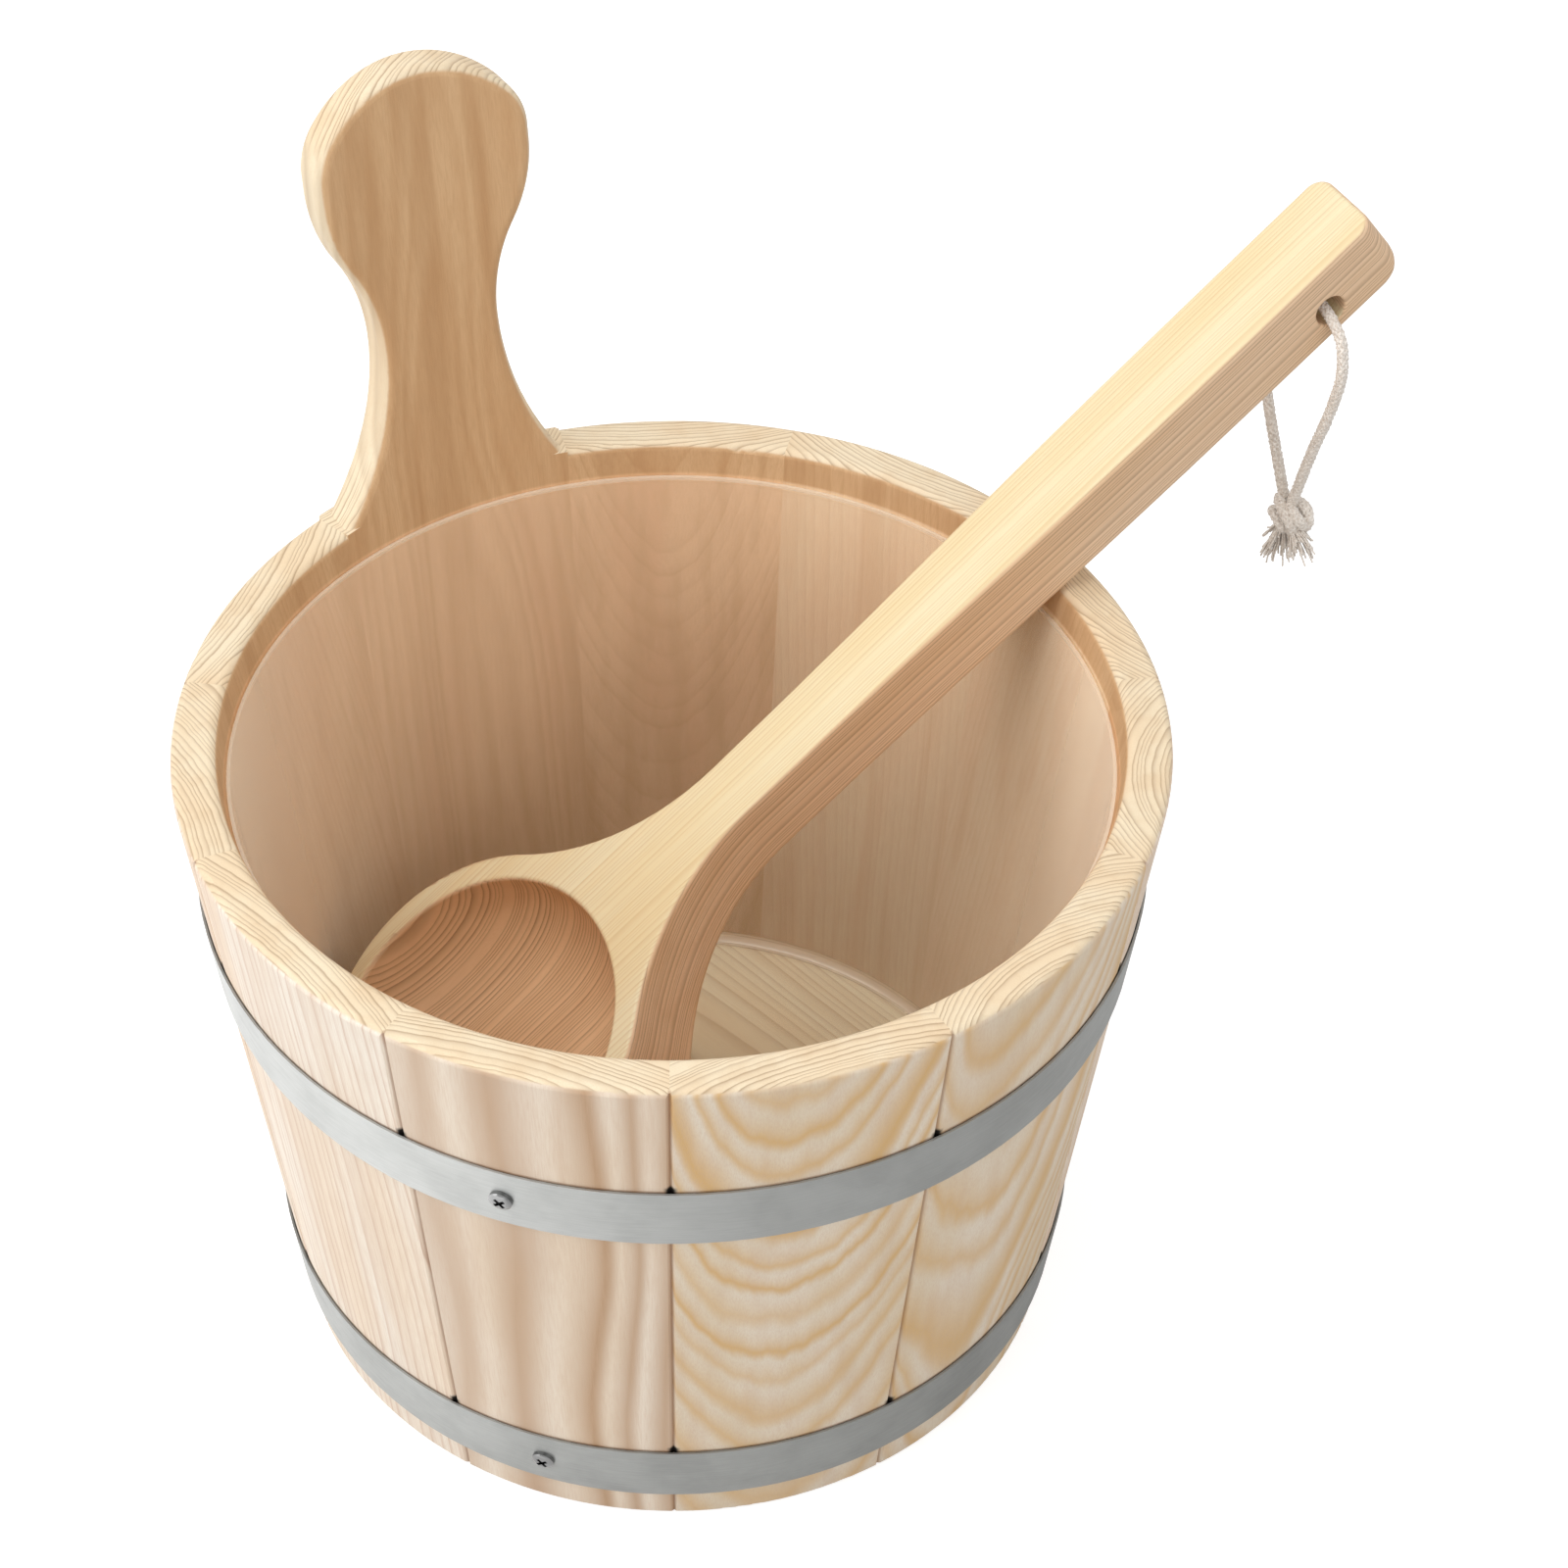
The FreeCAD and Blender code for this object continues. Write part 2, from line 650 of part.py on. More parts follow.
    hole = newSketch(body, "hangHole", "YZ_Plane")
    radius = size("hangHoleRadius")
    hole.addGeometry(Part.Circle(Vector(0, 0, 0), Vector(0, 0, 1), radius), False)
    holdPoint(hole, 0, 3, "Sizes.hangHoleAt", f"{underside} + Sizes.hangHoleRise")
    bind = hole.addConstraint(Sketcher.Constraint("Radius", 0, radius))
    hole.setExpression(f"Constraints[{bind}]", "Sizes.hangHoleRadius")
    bore = body.newObject("PartDesign::Pocket", "hangBore")
    bore.Profile = hole
    bore.Type = "ThroughAll"
    bore.Midplane = True
    doc.recompute()
    print("ladle volumes", round(block.Shape.Volume), round(under.Shape.Volume), round(bore.Shape.Volume))

    tip = -size("bowlCentre") - size("bowlRadius")
    halfWidth = size("handleHalfWidth")

    def isLowerEdge(edge):
        # Where the sides meet the underside; the rounded end is left out.
        middle = edge.valueAt((edge.FirstParameter + edge.LastParameter) / 2)
        isBelow = heights(edge)[1] < 0.1 - size("ladleThickness") and edge.Length > 6
        isAcross = near(edge.BoundBox.XLength, edge.Length)
        return isBelow and not isAcross and (abs(middle.x) > 5 or near(middle.y, tip))

    def isTopEdge(edge):
        low, high = heights(edge)
        return near(low, 0) and near(high, 0)

    def isHoleEdge(edge):
        isRound = near(edge.Length, 2 * math.pi * size("hangHoleRadius"), 0.5) and edge.isClosed()
        return isRound and near(abs(edge.BoundBox.Center.x), halfWidth, 0.3)

    dress(body, "Fillet", isTopEdge, "Sizes.ladleTopRound")
    dress(body, "Fillet", isHoleEdge, "Sizes.hangHoleRound")
    dress(body, "Fillet", isLowerEdge, "Sizes.ladleFootRound")
    body.Placement = ladlePlacement()
    return body


def cordPlacement():
    # Middle of the handle's hole, with X across the ladle and Z upright.
    seat = Vector(0, size("hangHoleAt"), size("hangHoleRise") - size("ladleThickness"))
    home = ladlePlacement()
    across = home.Rotation.multVec(Vector(1, 0, 0))
    up = Vector(0, 0, 1)
    return Placement(home.multVec(seat), Rotation(across, up.cross(across), up, "ZXY"))


def roundedPath(points):
    # Straight runs joined by tangent arcs, each as large as its two runs allow.
    edges, radii = [], []
    start = points[0]
    for before, corner, after in zip(points, points[1:], points[2:]):
        back, forth = before - corner, after - corner
        halfTurn = (math.pi - back.getAngle(forth)) / 2
        cut = 0.45 * min(back.Length, forth.Length)
        radii.append(cut / math.tan(halfTurn))
        back.normalize()
        forth.normalize()
        enter, leave = corner + back * cut, corner + forth * cut
        inward = (back + forth).normalize()
        apex = corner + inward * (radii[-1] / math.cos(halfTurn) - radii[-1])
        edges += [Part.LineSegment(start, enter).toShape(), Part.Arc(enter, apex, leave).toShape()]
        start = leave
    edges.append(Part.LineSegment(start, points[-1]).toShape())
    return Part.Wire(edges), radii


def makeCordLoop():
    path, radii = roundedPath([Vector(across, 0, up) for across, up in CORD_ROUTE])
    radius = size("cordRadius")
    start = path.Edges[0]
    ring = Part.Circle(start.valueAt(start.FirstParameter), start.tangentAt(start.FirstParameter), radius)
    loop = doc.addObject("Part::Feature", "cord_loop")
    loop.Label = "cord_loop"
    loop.Shape = path.makePipeShell([Part.Wire([ring.toShape()])], True, False)
    loop.Placement = cordPlacement()
    whole = math.pi * radius**2 * path.Length
    print("cord length", round(path.Length, 1), "radii", [round(r, 1) for r in radii])
    print("cord volume", round(loop.Shape.Volume), "section times length", round(whole))
    return loop


def makeCordKnot():
    knot = doc.addObject("Part::Ellipsoid", "cord_knot")
    knot.Label = "cord_knot"
    knot.setExpression("Radius1", "Sizes.knotHalfHeight")
    knot.setExpression("Radius2", "Sizes.knotHalfWidth")
    knot.setExpression("Radius3", "Sizes.knotHalfHeight")
    home = cordPlacement()
    knot.Placement = Placement(home.multVec(Vector(KNOT_AT[0], 0, KNOT_AT[1])), home.Rotation)
    return knot


def makeCordTail():
    tail = doc.addObject("Part::Cone", "cord_tail")
    tail.Label = "cord_tail"
    tail.setExpression("Radius1", "Sizes.tailRadius")
    tail.setExpression("Radius2", "Sizes.tailEndRadius")
    reach = TAIL_END - TAIL_TOP
    tail.Height = reach.Length
    home = cordPlacement()
    lean = Rotation(Vector(0, 0, 1), home.Rotation.multVec(reach))
    tail.Placement = Placement(home.multVec(TAIL_TOP), lean)
    return tail


subParts = []
number = 0
for index, seam in enumerate(SEAMS):
    following = SEAMS[index + 1] if index + 1 < len(SEAMS) else SEAMS[0] + 360
    if seam == HANDLE_STAVE_SEAM:
        subParts.append(makeHandleStave("handle_stave", seam, following - seam))
        continue
    number += 1
    screws = list(SCREWS) if seam == SCREWED_STAVE_SEAM else []
    subParts.append(makeStave(f"stave_{number:02d}", seam, following - seam, screws))
subParts.append(makeBottomBoard())
subParts.append(makeHoop("upper_hoop", "upperHoopFoot", "upper"))
subParts.append(makeHoop("lower_hoop", "lowerHoopFoot", "lower"))
subParts.append(makeScrew("upper_hoop_screw", "upper"))
subParts.append(makeScrew("lower_hoop_screw", "lower"))
subParts.append(makeLiner())
subParts.append(makeLadle())
subParts.append(makeCordLoop())
subParts.append(makeCordKnot())
subParts.append(makeCordTail())

doc.recompute()
failed = [item.Name for item in doc.Objects if {"Invalid", "Error"} & set(item.State)]
if failed:
    raise SystemExit(f"failed features: {failed}")
for part in subParts:
    if part.Shape.isNull() or not part.Shape.isValid():
        raise SystemExit(f"bad shape: {part.Label}")
os.makedirs("parts", exist_ok=True)
for part in subParts:
    part.Shape.exportStep(f"parts/{part.Label}.step")
    print(part.Label, "volume", round(part.Shape.Volume))
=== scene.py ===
import math

import bpy
from mathutils import Matrix, Vector


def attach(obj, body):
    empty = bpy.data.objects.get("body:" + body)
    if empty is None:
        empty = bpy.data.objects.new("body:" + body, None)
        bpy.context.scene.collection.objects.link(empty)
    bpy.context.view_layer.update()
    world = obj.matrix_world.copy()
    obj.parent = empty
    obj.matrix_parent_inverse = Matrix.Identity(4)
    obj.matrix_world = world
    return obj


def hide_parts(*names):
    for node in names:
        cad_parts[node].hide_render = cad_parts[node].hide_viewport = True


# A coopered pail with its liner, and the ladle that leans in it. Metres, Z up, the front is -Y.

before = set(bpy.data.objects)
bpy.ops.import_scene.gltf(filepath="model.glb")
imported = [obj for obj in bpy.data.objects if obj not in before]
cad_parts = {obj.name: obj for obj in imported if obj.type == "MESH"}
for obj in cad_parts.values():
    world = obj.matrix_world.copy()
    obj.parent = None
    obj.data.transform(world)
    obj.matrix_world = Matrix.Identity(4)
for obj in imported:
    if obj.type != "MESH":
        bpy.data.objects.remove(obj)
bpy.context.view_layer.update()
scene = bpy.context.scene
print("frame loaded:", len(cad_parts), "nodes")


def paint(red, green, blue):
    # A colour as a screen shows it, 0 to 255, made linear for the shaders.
    def linear(value):
        value /= 255
        return value / 12.92 if value <= 0.04045 else ((value + 0.055) / 1.055) ** 2.4

    return linear(red), linear(green), linear(blue), 1.0


# Camera and studio

studio = {
    "cameraPlace": (0.0, -0.7139, 0.8289),
    "lookDown": math.radians(42.93),
    "roll": 0.0083,
    "lens": 88.41,
    "sensor": 36,
    "clip": (0.05, 50),
    "shiftX": 0.0716,
    "floorSize": 9.0,
    "floorColour": 0.55,
    "floorGlow": 0.66,
    "skyLight": 0.76,
    "keyPower": 17.5,
    "keyPlace": (-1.35, -0.35, 1.75),
    "keySize": 2.6,
    "fillPower": 6.6,
    "fillPlace": (0.9, -1.7, 1.2),
    "fillSize": 1.6,
    "topPower": 3.3,
    "topPlace": (-0.42, -0.12, 1.35),
    "topSize": 0.9,
    "sidePower": 4.0,
    "sidePlace": (-1.5, -0.9, 0.35),
    "sideSize": 0.9,
    "glossLeft": 1.4,
    "glossRight": 0.1,
    "glossReach": (-0.25, 0.15),
    "lookAt": (0.0, 0.0, 0.12),
}


def makeCamera():
    data = bpy.data.cameras.new("camera")
    data.sensor_width = studio["sensor"]
    data.lens = studio["lens"]
    data.shift_x = studio["shiftX"]
    data.clip_start, data.clip_end = studio["clip"]
    camera = bpy.data.objects.new("camera", data)
    down = studio["lookDown"]
    right = Vector((1, 0, 0))
    up = Vector((0, math.sin(down), math.cos(down)))
    tiltedRight = (right - up * studio["roll"]).normalized()
    tiltedUp = (up + right * studio["roll"]).normalized()
    axes = Matrix((tiltedRight, tiltedUp, tiltedRight.cross(tiltedUp))).transposed()
    camera.matrix_world = Matrix.Translation(studio["cameraPlace"]) @ axes.to_4x4()
    scene.collection.objects.link(camera)
    scene.camera = camera


def addLamp(name, place, size, power):
    data = bpy.data.lights.new(name, "AREA")
    data.shape = "DISK"
    data.size = size
    data.energy = power
    lamp = bpy.data.objects.new(name, data)
    aim = Vector(studio["lookAt"]) - Vector(place)
    lamp.matrix_world = Matrix.Translation(place) @ aim.to_track_quat("-Z", "Y").to_matrix().to_4x4()
    scene.collection.objects.link(lamp)


# Helpers for the node trees


def addNode(tree, kind, sockets=None, **settings):
    # A node with its settings; sockets maps an input's name or number to a value or another output.
    node = tree.nodes.new(kind)
    for key, value in settings.items():
        setattr(node, key, value)
    for key, value in (sockets or {}).items():
        if isinstance(value, bpy.types.NodeSocket):
            tree.links.new(value, node.inputs[key])
        else:
            node.inputs[key].default_value = value
    return node


def sums(tree, operation, *values):
    node = addNode(tree, "ShaderNodeMath", dict(enumerate(values)), operation=operation)
    return node.outputs[0]


def vectors(tree, operation, first, second):
    return addNode(tree, "ShaderNodeVectorMath", {0: first, 1: second}, operation=operation).outputs[0]


def product(tree, first, *others):
    for other in others:
        first = sums(tree, "MULTIPLY", first, other)
    return first


def scaled(tree, vector, amount):
    return addNode(tree, "ShaderNodeVectorMath", {0: vector, "Scale": amount}, operation="SCALE").outputs[0]


def lengthOf(tree, vector):
    return addNode(tree, "ShaderNodeVectorMath", {0: vector}, operation="LENGTH").outputs["Value"]


def alongOf(tree, vector, direction):
    # How far a vector reaches along a direction.
    node = addNode(tree, "ShaderNodeVectorMath", {0: vector, 1: direction}, operation="DOT_PRODUCT")
    return node.outputs["Value"]


def heightOf(tree, place):
    return addNode(tree, "ShaderNodeSeparateXYZ", {0: place}).outputs["Z"]


def blendColours(tree, share, first, second, kind="MIX"):
    node = addNode(tree, "ShaderNodeMix", data_type="RGBA", blend_type=kind)
    for name, value in (("Factor_Float", share), ("A_Color", first), ("B_Color", second)):
        socket = next(s for s in node.inputs if s.identifier == name)
        if isinstance(value, bpy.types.NodeSocket):
            tree.links.new(value, socket)
        else:
            socket.default_value = value
    return next(s for s in node.outputs if s.identifier == "Result_Color")


def ramp(tree, value, low, high, outLow=0.0, outHigh=1.0, smooth=True):
    sockets = {"Value": value, "From Min": low, "From Max": high, "To Min": outLow, "To Max": outHigh}
    kind = "SMOOTHSTEP" if smooth else "LINEAR"
    return addNode(tree, "ShaderNodeMapRange", sockets, interpolation_type=kind).outputs["Result"]


def noise(tree, place, scale, detail=2.0, rough=0.5, size="3D"):
    sockets = {"Vector": place, "Scale": scale, "Detail": detail, "Roughness": rough}
    return addNode(tree, "ShaderNodeTexNoise", sockets, noise_dimensions=size)


def newMaterial(name):
    material = bpy.data.materials.new(name)
    material.use_nodes = True
    tree = material.node_tree
    tree.nodes.clear()
    output = addNode(tree, "ShaderNodeOutputMaterial")
    return material, tree, output


def makeStudio():
    world = bpy.data.worlds.new("studio")
    scene.world = world
    world.use_nodes = True
    tree = world.node_tree
    tree.nodes.clear()
    rays = addNode(tree, "ShaderNodeLightPath").outputs
    seen = sums(tree, "MAXIMUM", rays["Is Camera Ray"], rays["Is Glossy Ray"])
    seen = sums(tree, "MAXIMUM", seen, rays["Is Transmission Ray"])
    strength = ramp(tree, seen, 0, 1, studio["skyLight"], 1.0, smooth=False)
    sky = addNode(tree, "ShaderNodeBackground", {"Color": (1, 1, 1, 1), "Strength": strength})
    addNode(tree, "ShaderNodeOutputWorld", {"Surface": sky.outputs[0]})

    for lamp in ("key", "fill", "top", "side"):
        addLamp(lamp + "Lamp", studio[lamp + "Place"], studio[lamp + "Size"], studio[lamp + "Power"])

    half = studio["floorSize"] / 2
    corners = [(-half, -half, 0), (half, -half, 0), (half, half, 0), (-half, half, 0)]
    mesh = bpy.data.meshes.new("floor")
    mesh.from_pydata(corners, [], [(0, 1, 2, 3)])
    floor = bpy.data.objects.new("floor", mesh)
    scene.collection.objects.link(floor)
    material, tree, output = newMaterial("paleFloor")
    rays = addNode(tree, "ShaderNodeLightPath").outputs
    seen = sums(tree, "MAXIMUM", rays["Is Camera Ray"], rays["Is Transmission Ray"])
    glow = product(tree, seen, studio["floorGlow"])
    # Metal sees a brighter floor to its left than to its right.
    place = addNode(tree, "ShaderNodeTexCoord").outputs["Object"]
    across = addNode(tree, "ShaderNodeSeparateXYZ", {0: place}).outputs["X"]
    gloss = ramp(tree, across, *studio["glossReach"], studio["glossLeft"], studio["glossRight"])
    glow = sums(tree, "ADD", glow, product(tree, rays["Is Glossy Ray"], gloss))
    matt = addNode(tree, "ShaderNodeBsdfDiffuse", {"Color": (studio["floorColour"],) * 3 + (1,)})
    light = addNode(tree, "ShaderNodeEmission", {"Strength": glow})
    both = addNode(tree, "ShaderNodeAddShader", {0: matt.outputs[0], 1: light.outputs[0]})
    tree.links.new(both.outputs[0], output.inputs["Surface"])
    mesh.materials.append(material)


makeCamera()
makeStudio()
print("camera and studio ready")

# Cord through the ladle's handle. The route lies in the upright plane through the hole:
# across the ladle and up, in metres, as the solids have it.

cordSizes = {
    "holeMiddle": (0.16269, 0.09208, 0.25095),
    "acrossLadle": (0.4431, -0.8965, 0.0),
    "route": [
        (0.0064, -0.0670),
        (0.0112, -0.0475),
        (0.0176, -0.0285),
        (0.0208, -0.0130),
        (0.0166, -0.0022),
        (0.0, 0.0006),
        (-0.0166, -0.0026),
        (-0.0196, -0.0135),
        (-0.0150, -0.0285),
        (-0.0076, -0.0470),
        (0.0030, -0.0665),
    ],
    "radius": 0.00155,
    "length": 0.1676,
    "yarns": 12,
    "yarnRadius": 0.00052,
    "lay": 0.0105,
    "yarnSides": 6,
    "overUnder": 0.35,  # how far a yarn rises over the others, in yarn radii
    "packing": 1.1,  # how deep the yarns' middles lie, in yarn radii
    "step": 0.0006,
    "curveSteps": 24,
}


def cordPlace(across, up, out=0.0):
    # A point of the cord's own plane in the frame; out is away from the pail's axis.
    side = Vector(cordSizes["acrossLadle"]).normalized()
    outward = Vector((0, 0, 1)).cross(side)
    return Vector(cordSizes["holeMiddle"]) + side * across + outward * out + Vector((0, 0, 1)) * up


def smoothLine(name, points):
    # The points of a smooth line through a NURBS route, read back from a curve with no bevel.
    curve = bpy.data.curves.new(name, "CURVE")
    curve.dimensions = "3D"
    curve.resolution_u = cordSizes["curveSteps"]
    spline = curve.splines.new("NURBS")
    spline.points.add(len(points) - 1)
    for point, place in zip(spline.points, points):
        point.co = (*place, 1.0)
    spline.order_u = 3
    spline.use_endpoint_u = True
    holder = bpy.data.objects.new(name, curve)
    mesh = bpy.data.meshes.new_from_object(holder)
    line = [vertex.co.copy() for vertex in mesh.vertices]
    bpy.data.meshes.remove(mesh)
    bpy.data.objects.remove(holder)
    bpy.data.curves.remove(curve)
    return line


def lineObject(name, line):
    mesh = bpy.data.meshes.new(name)
    edges = [(number, number + 1) for number in range(len(line) - 1)]
    mesh.from_pydata([tuple(place) for place in line], edges, [])
    piece = bpy.data.objects.new(name, mesh)
    scene.collection.objects.link(piece)
    return piece


def newGeometryTree(name, inputs):
    # A geometry tree with named inputs; inputs maps a name to (socket type, value).
    tree = bpy.data.node_groups.new(name, "GeometryNodeTree")
    face = tree.interface
    face.new_socket("Geometry", in_out="OUTPUT", socket_type="NodeSocketGeometry")
    face.new_socket("Geometry", in_out="INPUT", socket_type="NodeSocketGeometry")
    for label, (kind, value) in inputs.items():
        socket = face.new_socket(label, in_out="INPUT", socket_type=kind)
        if kind != "NodeSocketMaterial":
            socket.default_value = value
    entry = addNode(tree, "NodeGroupInput").outputs
    return tree, entry, addNode(tree, "NodeGroupOutput")


def bakeTree(piece, tree, values):
    # Runs a tree on a piece and keeps the result as its plain mesh.
    modifier = piece.modifiers.new(tree.name, "NODES")
    modifier.node_group = tree
    for item in tree.interface.items_tree:
        if item.in_out == "INPUT" and item.name in values:
            modifier[item.identifier] = values[item.name]
    bpy.context.view_layer.update()
    ready = piece.evaluated_get(bpy.context.evaluated_depsgraph_get())
    mesh = bpy.data.meshes.new_from_object(ready)
    piece.modifiers.clear()
    piece.data = mesh
    mesh.name = piece.name
    return piece


def copyLine(tree, line, amount):
    # Copies of a line, and each copy's number.
    sockets = {"Geometry": line, "Amount": amount}
    copies = addNode(tree, "GeometryNodeDuplicateElements", sockets, domain="SPLINE").outputs
    return copies["Geometry"], copies["Duplicate Index"]


def makeTubes(tree, leave, curves, sides, radius, material):
    # Round smooth tubes along curves, as what the tree gives back.
    ring = addNode(tree, "GeometryNodeCurvePrimitiveCircle", {"Resolution": sides, "Radius": radius})
    sockets = {"Curve": curves, "Profile Curve": ring.outputs[0], "Fill Caps": True}
    tube = addNode(tree, "GeometryNodeCurveToMesh", sockets)
    smooth = addNode(tree, "GeometryNodeSetShadeSmooth", {"Geometry": tube.outputs[0]})
    real = addNode(tree, "GeometryNodeRealizeInstances", {"Geometry": smooth.outputs[0]})
    cover = addNode(tree, "GeometryNodeSetMaterial", {"Geometry": real.outputs[0], "Material": material})
    tree.links.new(cover.outputs[0], leave.inputs["Geometry"])


def makeBraidTree():
    # Yarns wound both ways round a line, each passing over and under the others.
    whole, part = "NodeSocketInt", "NodeSocketFloat"
    tree, entry, leave = newGeometryTree(
        "braidYarns",
        {
            "Yarns": (whole, 12),
            "Core Radius": (part, 0.001),
            "Yarn Radius": (part, 0.0005),
            "Lay Length": (part, 0.01),
            "Step": (part, 0.0006),
            "Sides": (whole, 6),
            "Material": ("NodeSocketMaterial", None),
        },
    )
    line = addNode(tree, "GeometryNodeMeshToCurve", {"Mesh": entry["Geometry"]})
    sockets = {"Curve": line.outputs[0], "Length": entry["Step"]}
    even = addNode(tree, "GeometryNodeResampleCurve", sockets, mode="LENGTH")
    copies, index = copyLine(tree, even.outputs[0], entry["Yarns"])
    along = addNode(tree, "GeometryNodeSplineParameter").outputs["Length"]
    turned = product(tree, sums(tree, "DIVIDE", along, entry["Lay Length"]), math.tau)
    # Odd yarns are wound the other way, and each pair of yarns starts at its own angle.
    hand = sums(tree, "SUBTRACT", 1.0, product(tree, sums(tree, "MODULO", index, 2.0), 2.0))
    pair = sums(tree, "FLOOR", sums(tree, "DIVIDE", index, 2.0))
    pairs = sums(tree, "DIVIDE", entry["Yarns"], 2.0)
    share = sums(tree, "DIVIDE", pair, pairs)
    angle = sums(tree, "ADD", product(tree, turned, hand), product(tree, share, math.tau))
    # Over and under: yarns of the two hands meet every half of their spacing.
    weave = sums(tree, "ADD", product(tree, turned, pairs), product(tree, share, math.pi))
    lift = product(tree, sums(tree, "SINE", weave), hand)
    rise = product(tree, lift, product(tree, entry["Yarn Radius"], cordSizes["overUnder"]))
    reach = sums(tree, "ADD", entry["Core Radius"], rise)
    tangent = addNode(tree, "GeometryNodeInputTangent").outputs[0]
    normal = addNode(tree, "GeometryNodeInputNormal").outputs[0]
    across = vectors(tree, "CROSS_PRODUCT", tangent, normal)
    first = scaled(tree, normal, product(tree, sums(tree, "COSINE", angle), reach))
    second = scaled(tree, across, product(tree, sums(tree, "SINE", angle), reach))
    sockets = {"Geometry": copies, "Offset": vectors(tree, "ADD", first, second)}
    moved = addNode(tree, "GeometryNodeSetPosition", sockets).outputs[0]
    makeTubes(tree, leave, moved, entry["Sides"], entry["Yarn Radius"], entry["Material"])
    return tree


cottonLook = {
    "shade": paint(214, 203, 192),
    "light": paint(246, 240, 232),
    "worn": paint(206, 194, 181),
    "wornShare": 0.3,
    "fuzzScale": 1400,
    "fuzzRange": (0.35, 0.7),
    "fuzzStrength": 0.5,
    "fuzzHeight": 0.0002,
    "patchScale": 160,
    "patchRange": (0.4, 0.75),
    "roughness": 0.92,
    "sheen": 0.25,
}


def makeCotton():
    look = cottonLook
    material, tree, output = newMaterial("cottonYarn")
    place = addNode(tree, "ShaderNodeTexCoord").outputs["Object"]
    fuzz = noise(tree, place, look["fuzzScale"], 3.0, 0.6).outputs["Fac"]
    patch = noise(tree, place, look["patchScale"], 2.0).outputs["Fac"]
    tone = blendColours(tree, ramp(tree, fuzz, *look["fuzzRange"]), look["shade"], look["light"])
    worn = ramp(tree, patch, *look["patchRange"], 0, look["wornShare"])
    tone = blendColours(tree, worn, tone, look["worn"])
    sockets = {"Strength": look["fuzzStrength"], "Distance": look["fuzzHeight"], "Height": fuzz}
    bump = addNode(tree, "ShaderNodeBump", sockets)
    sockets = {"Base Color": tone, "Roughness": look["roughness"], "Sheen Weight": look["sheen"]}
    shader = addNode(tree, "ShaderNodeBsdfPrincipled", dict(sockets, Normal=bump.outputs[0]))
    tree.links.new(shader.outputs[0], output.inputs["Surface"])
    return material


cotton = makeCotton()
braidTree = makeBraidTree()


def braid(name, line, radius):
    yarn = cordSizes["yarnRadius"]
    values = {
        "Yarns": cordSizes["yarns"],
        "Core Radius": radius - yarn * cordSizes["packing"],
        "Yarn Radius": yarn,
        "Lay Length": cordSizes["lay"],
        "Step": cordSizes["step"],
        "Sides": cordSizes["yarnSides"],
        "Material": cotton,
    }
    return bakeTree(lineObject(name, line), braidTree, values)


cordRoute = [cordPlace(across, up) for across, up in cordSizes["route"]]
cordLine = smoothLine("cordRoute", cordRoute)
cordLoop = braid("cordLoop", cordLine, cordSizes["radius"])

knotSizes = {
    # An overhand knot tied in the doubled cord: (across, up, out) in millimetres from its middle.
    "middle": (0.0062, -0.0702),
    "turns": [
        [
            (0.6, 3.6, -1.2),
            (4.6, 3.0, -1.6),
            (5.0, -0.6, 0.8),
            (2.2, -2.6, 3.2),
            (-2.6, -1.6, 3.4),
            (-5.2, 1.0, 1.4),
            (-3.4, 3.4, -1.4),
            (0.4, 3.2, -3.0),
            (4.0, 1.2, -2.6),
            (3.6, -2.6, -1.0),
            (0.8, -4.2, 0.2),
        ],
        [
            (-0.8, 3.4, 1.0),
            (1.6, 3.6, 2.8),
            (4.4, 1.8, 2.6),
            (4.4, -2.0, 2.4),
            (0.8, -3.8, 2.6),
            (-3.6, -3.0, 1.6),
            (-5.0, -1.6, -1.4),
            (-2.2, 0.4, -3.2),
            (1.4, -1.6, -3.0),
            (0.0, -4.0, -1.4),
            (-1.4, -4.4, -0.4),
        ],
    ],
    "radius": 0.00165,
    "scale": 0.00108,
}


def knotPlace(across, up, out):
    middle, scale = knotSizes["middle"], knotSizes["scale"]
    return cordPlace(middle[0] + across * scale, middle[1] + up * scale, out * scale)


knotParts = []
for number, turns in enumerate(knotSizes["turns"]):
    line = smoothLine("knotRoute", [knotPlace(*point) for point in turns])
    knotParts.append(braid(f"knotTurn{number}", line, knotSizes["radius"]))


def joinPieces(name, parts):
    with bpy.context.temp_override(active_object=parts[0], selected_editable_objects=parts):
        bpy.ops.object.join()
    parts[0].name = name
    parts[0].data.name = name
    return parts[0]


cordKnot = joinPieces("cordKnot", knotParts)

tuftSizes = {
    "strands": 90,
    "rootRadius": 0.0024,
    "spreadAngle": 0.36,
    "wave": 0.002,
    "strandRadius": 0.00026,
    "strandSides": 5,
    "points": 9,
    "rootSpread": 0.6,
    "fanCurve": 1.3,
    "cut": (-0.32, 0.1),  # how much longer or shorter a strand can be, as a share of its length
    "cutSeed": 5,
    "waveScale": 110,
    "starter": 0.001,
    # Each loose end: its root and aim, (across, up, out), and its seed.
    "ends": [
        ((0.0044, -0.0748, -0.0006), (-0.0014, -0.0086, 0.0006), 11),
        ((0.0098, -0.0730, -0.0002), (0.0034, -0.0040, 0.0004), 23),
    ],
}


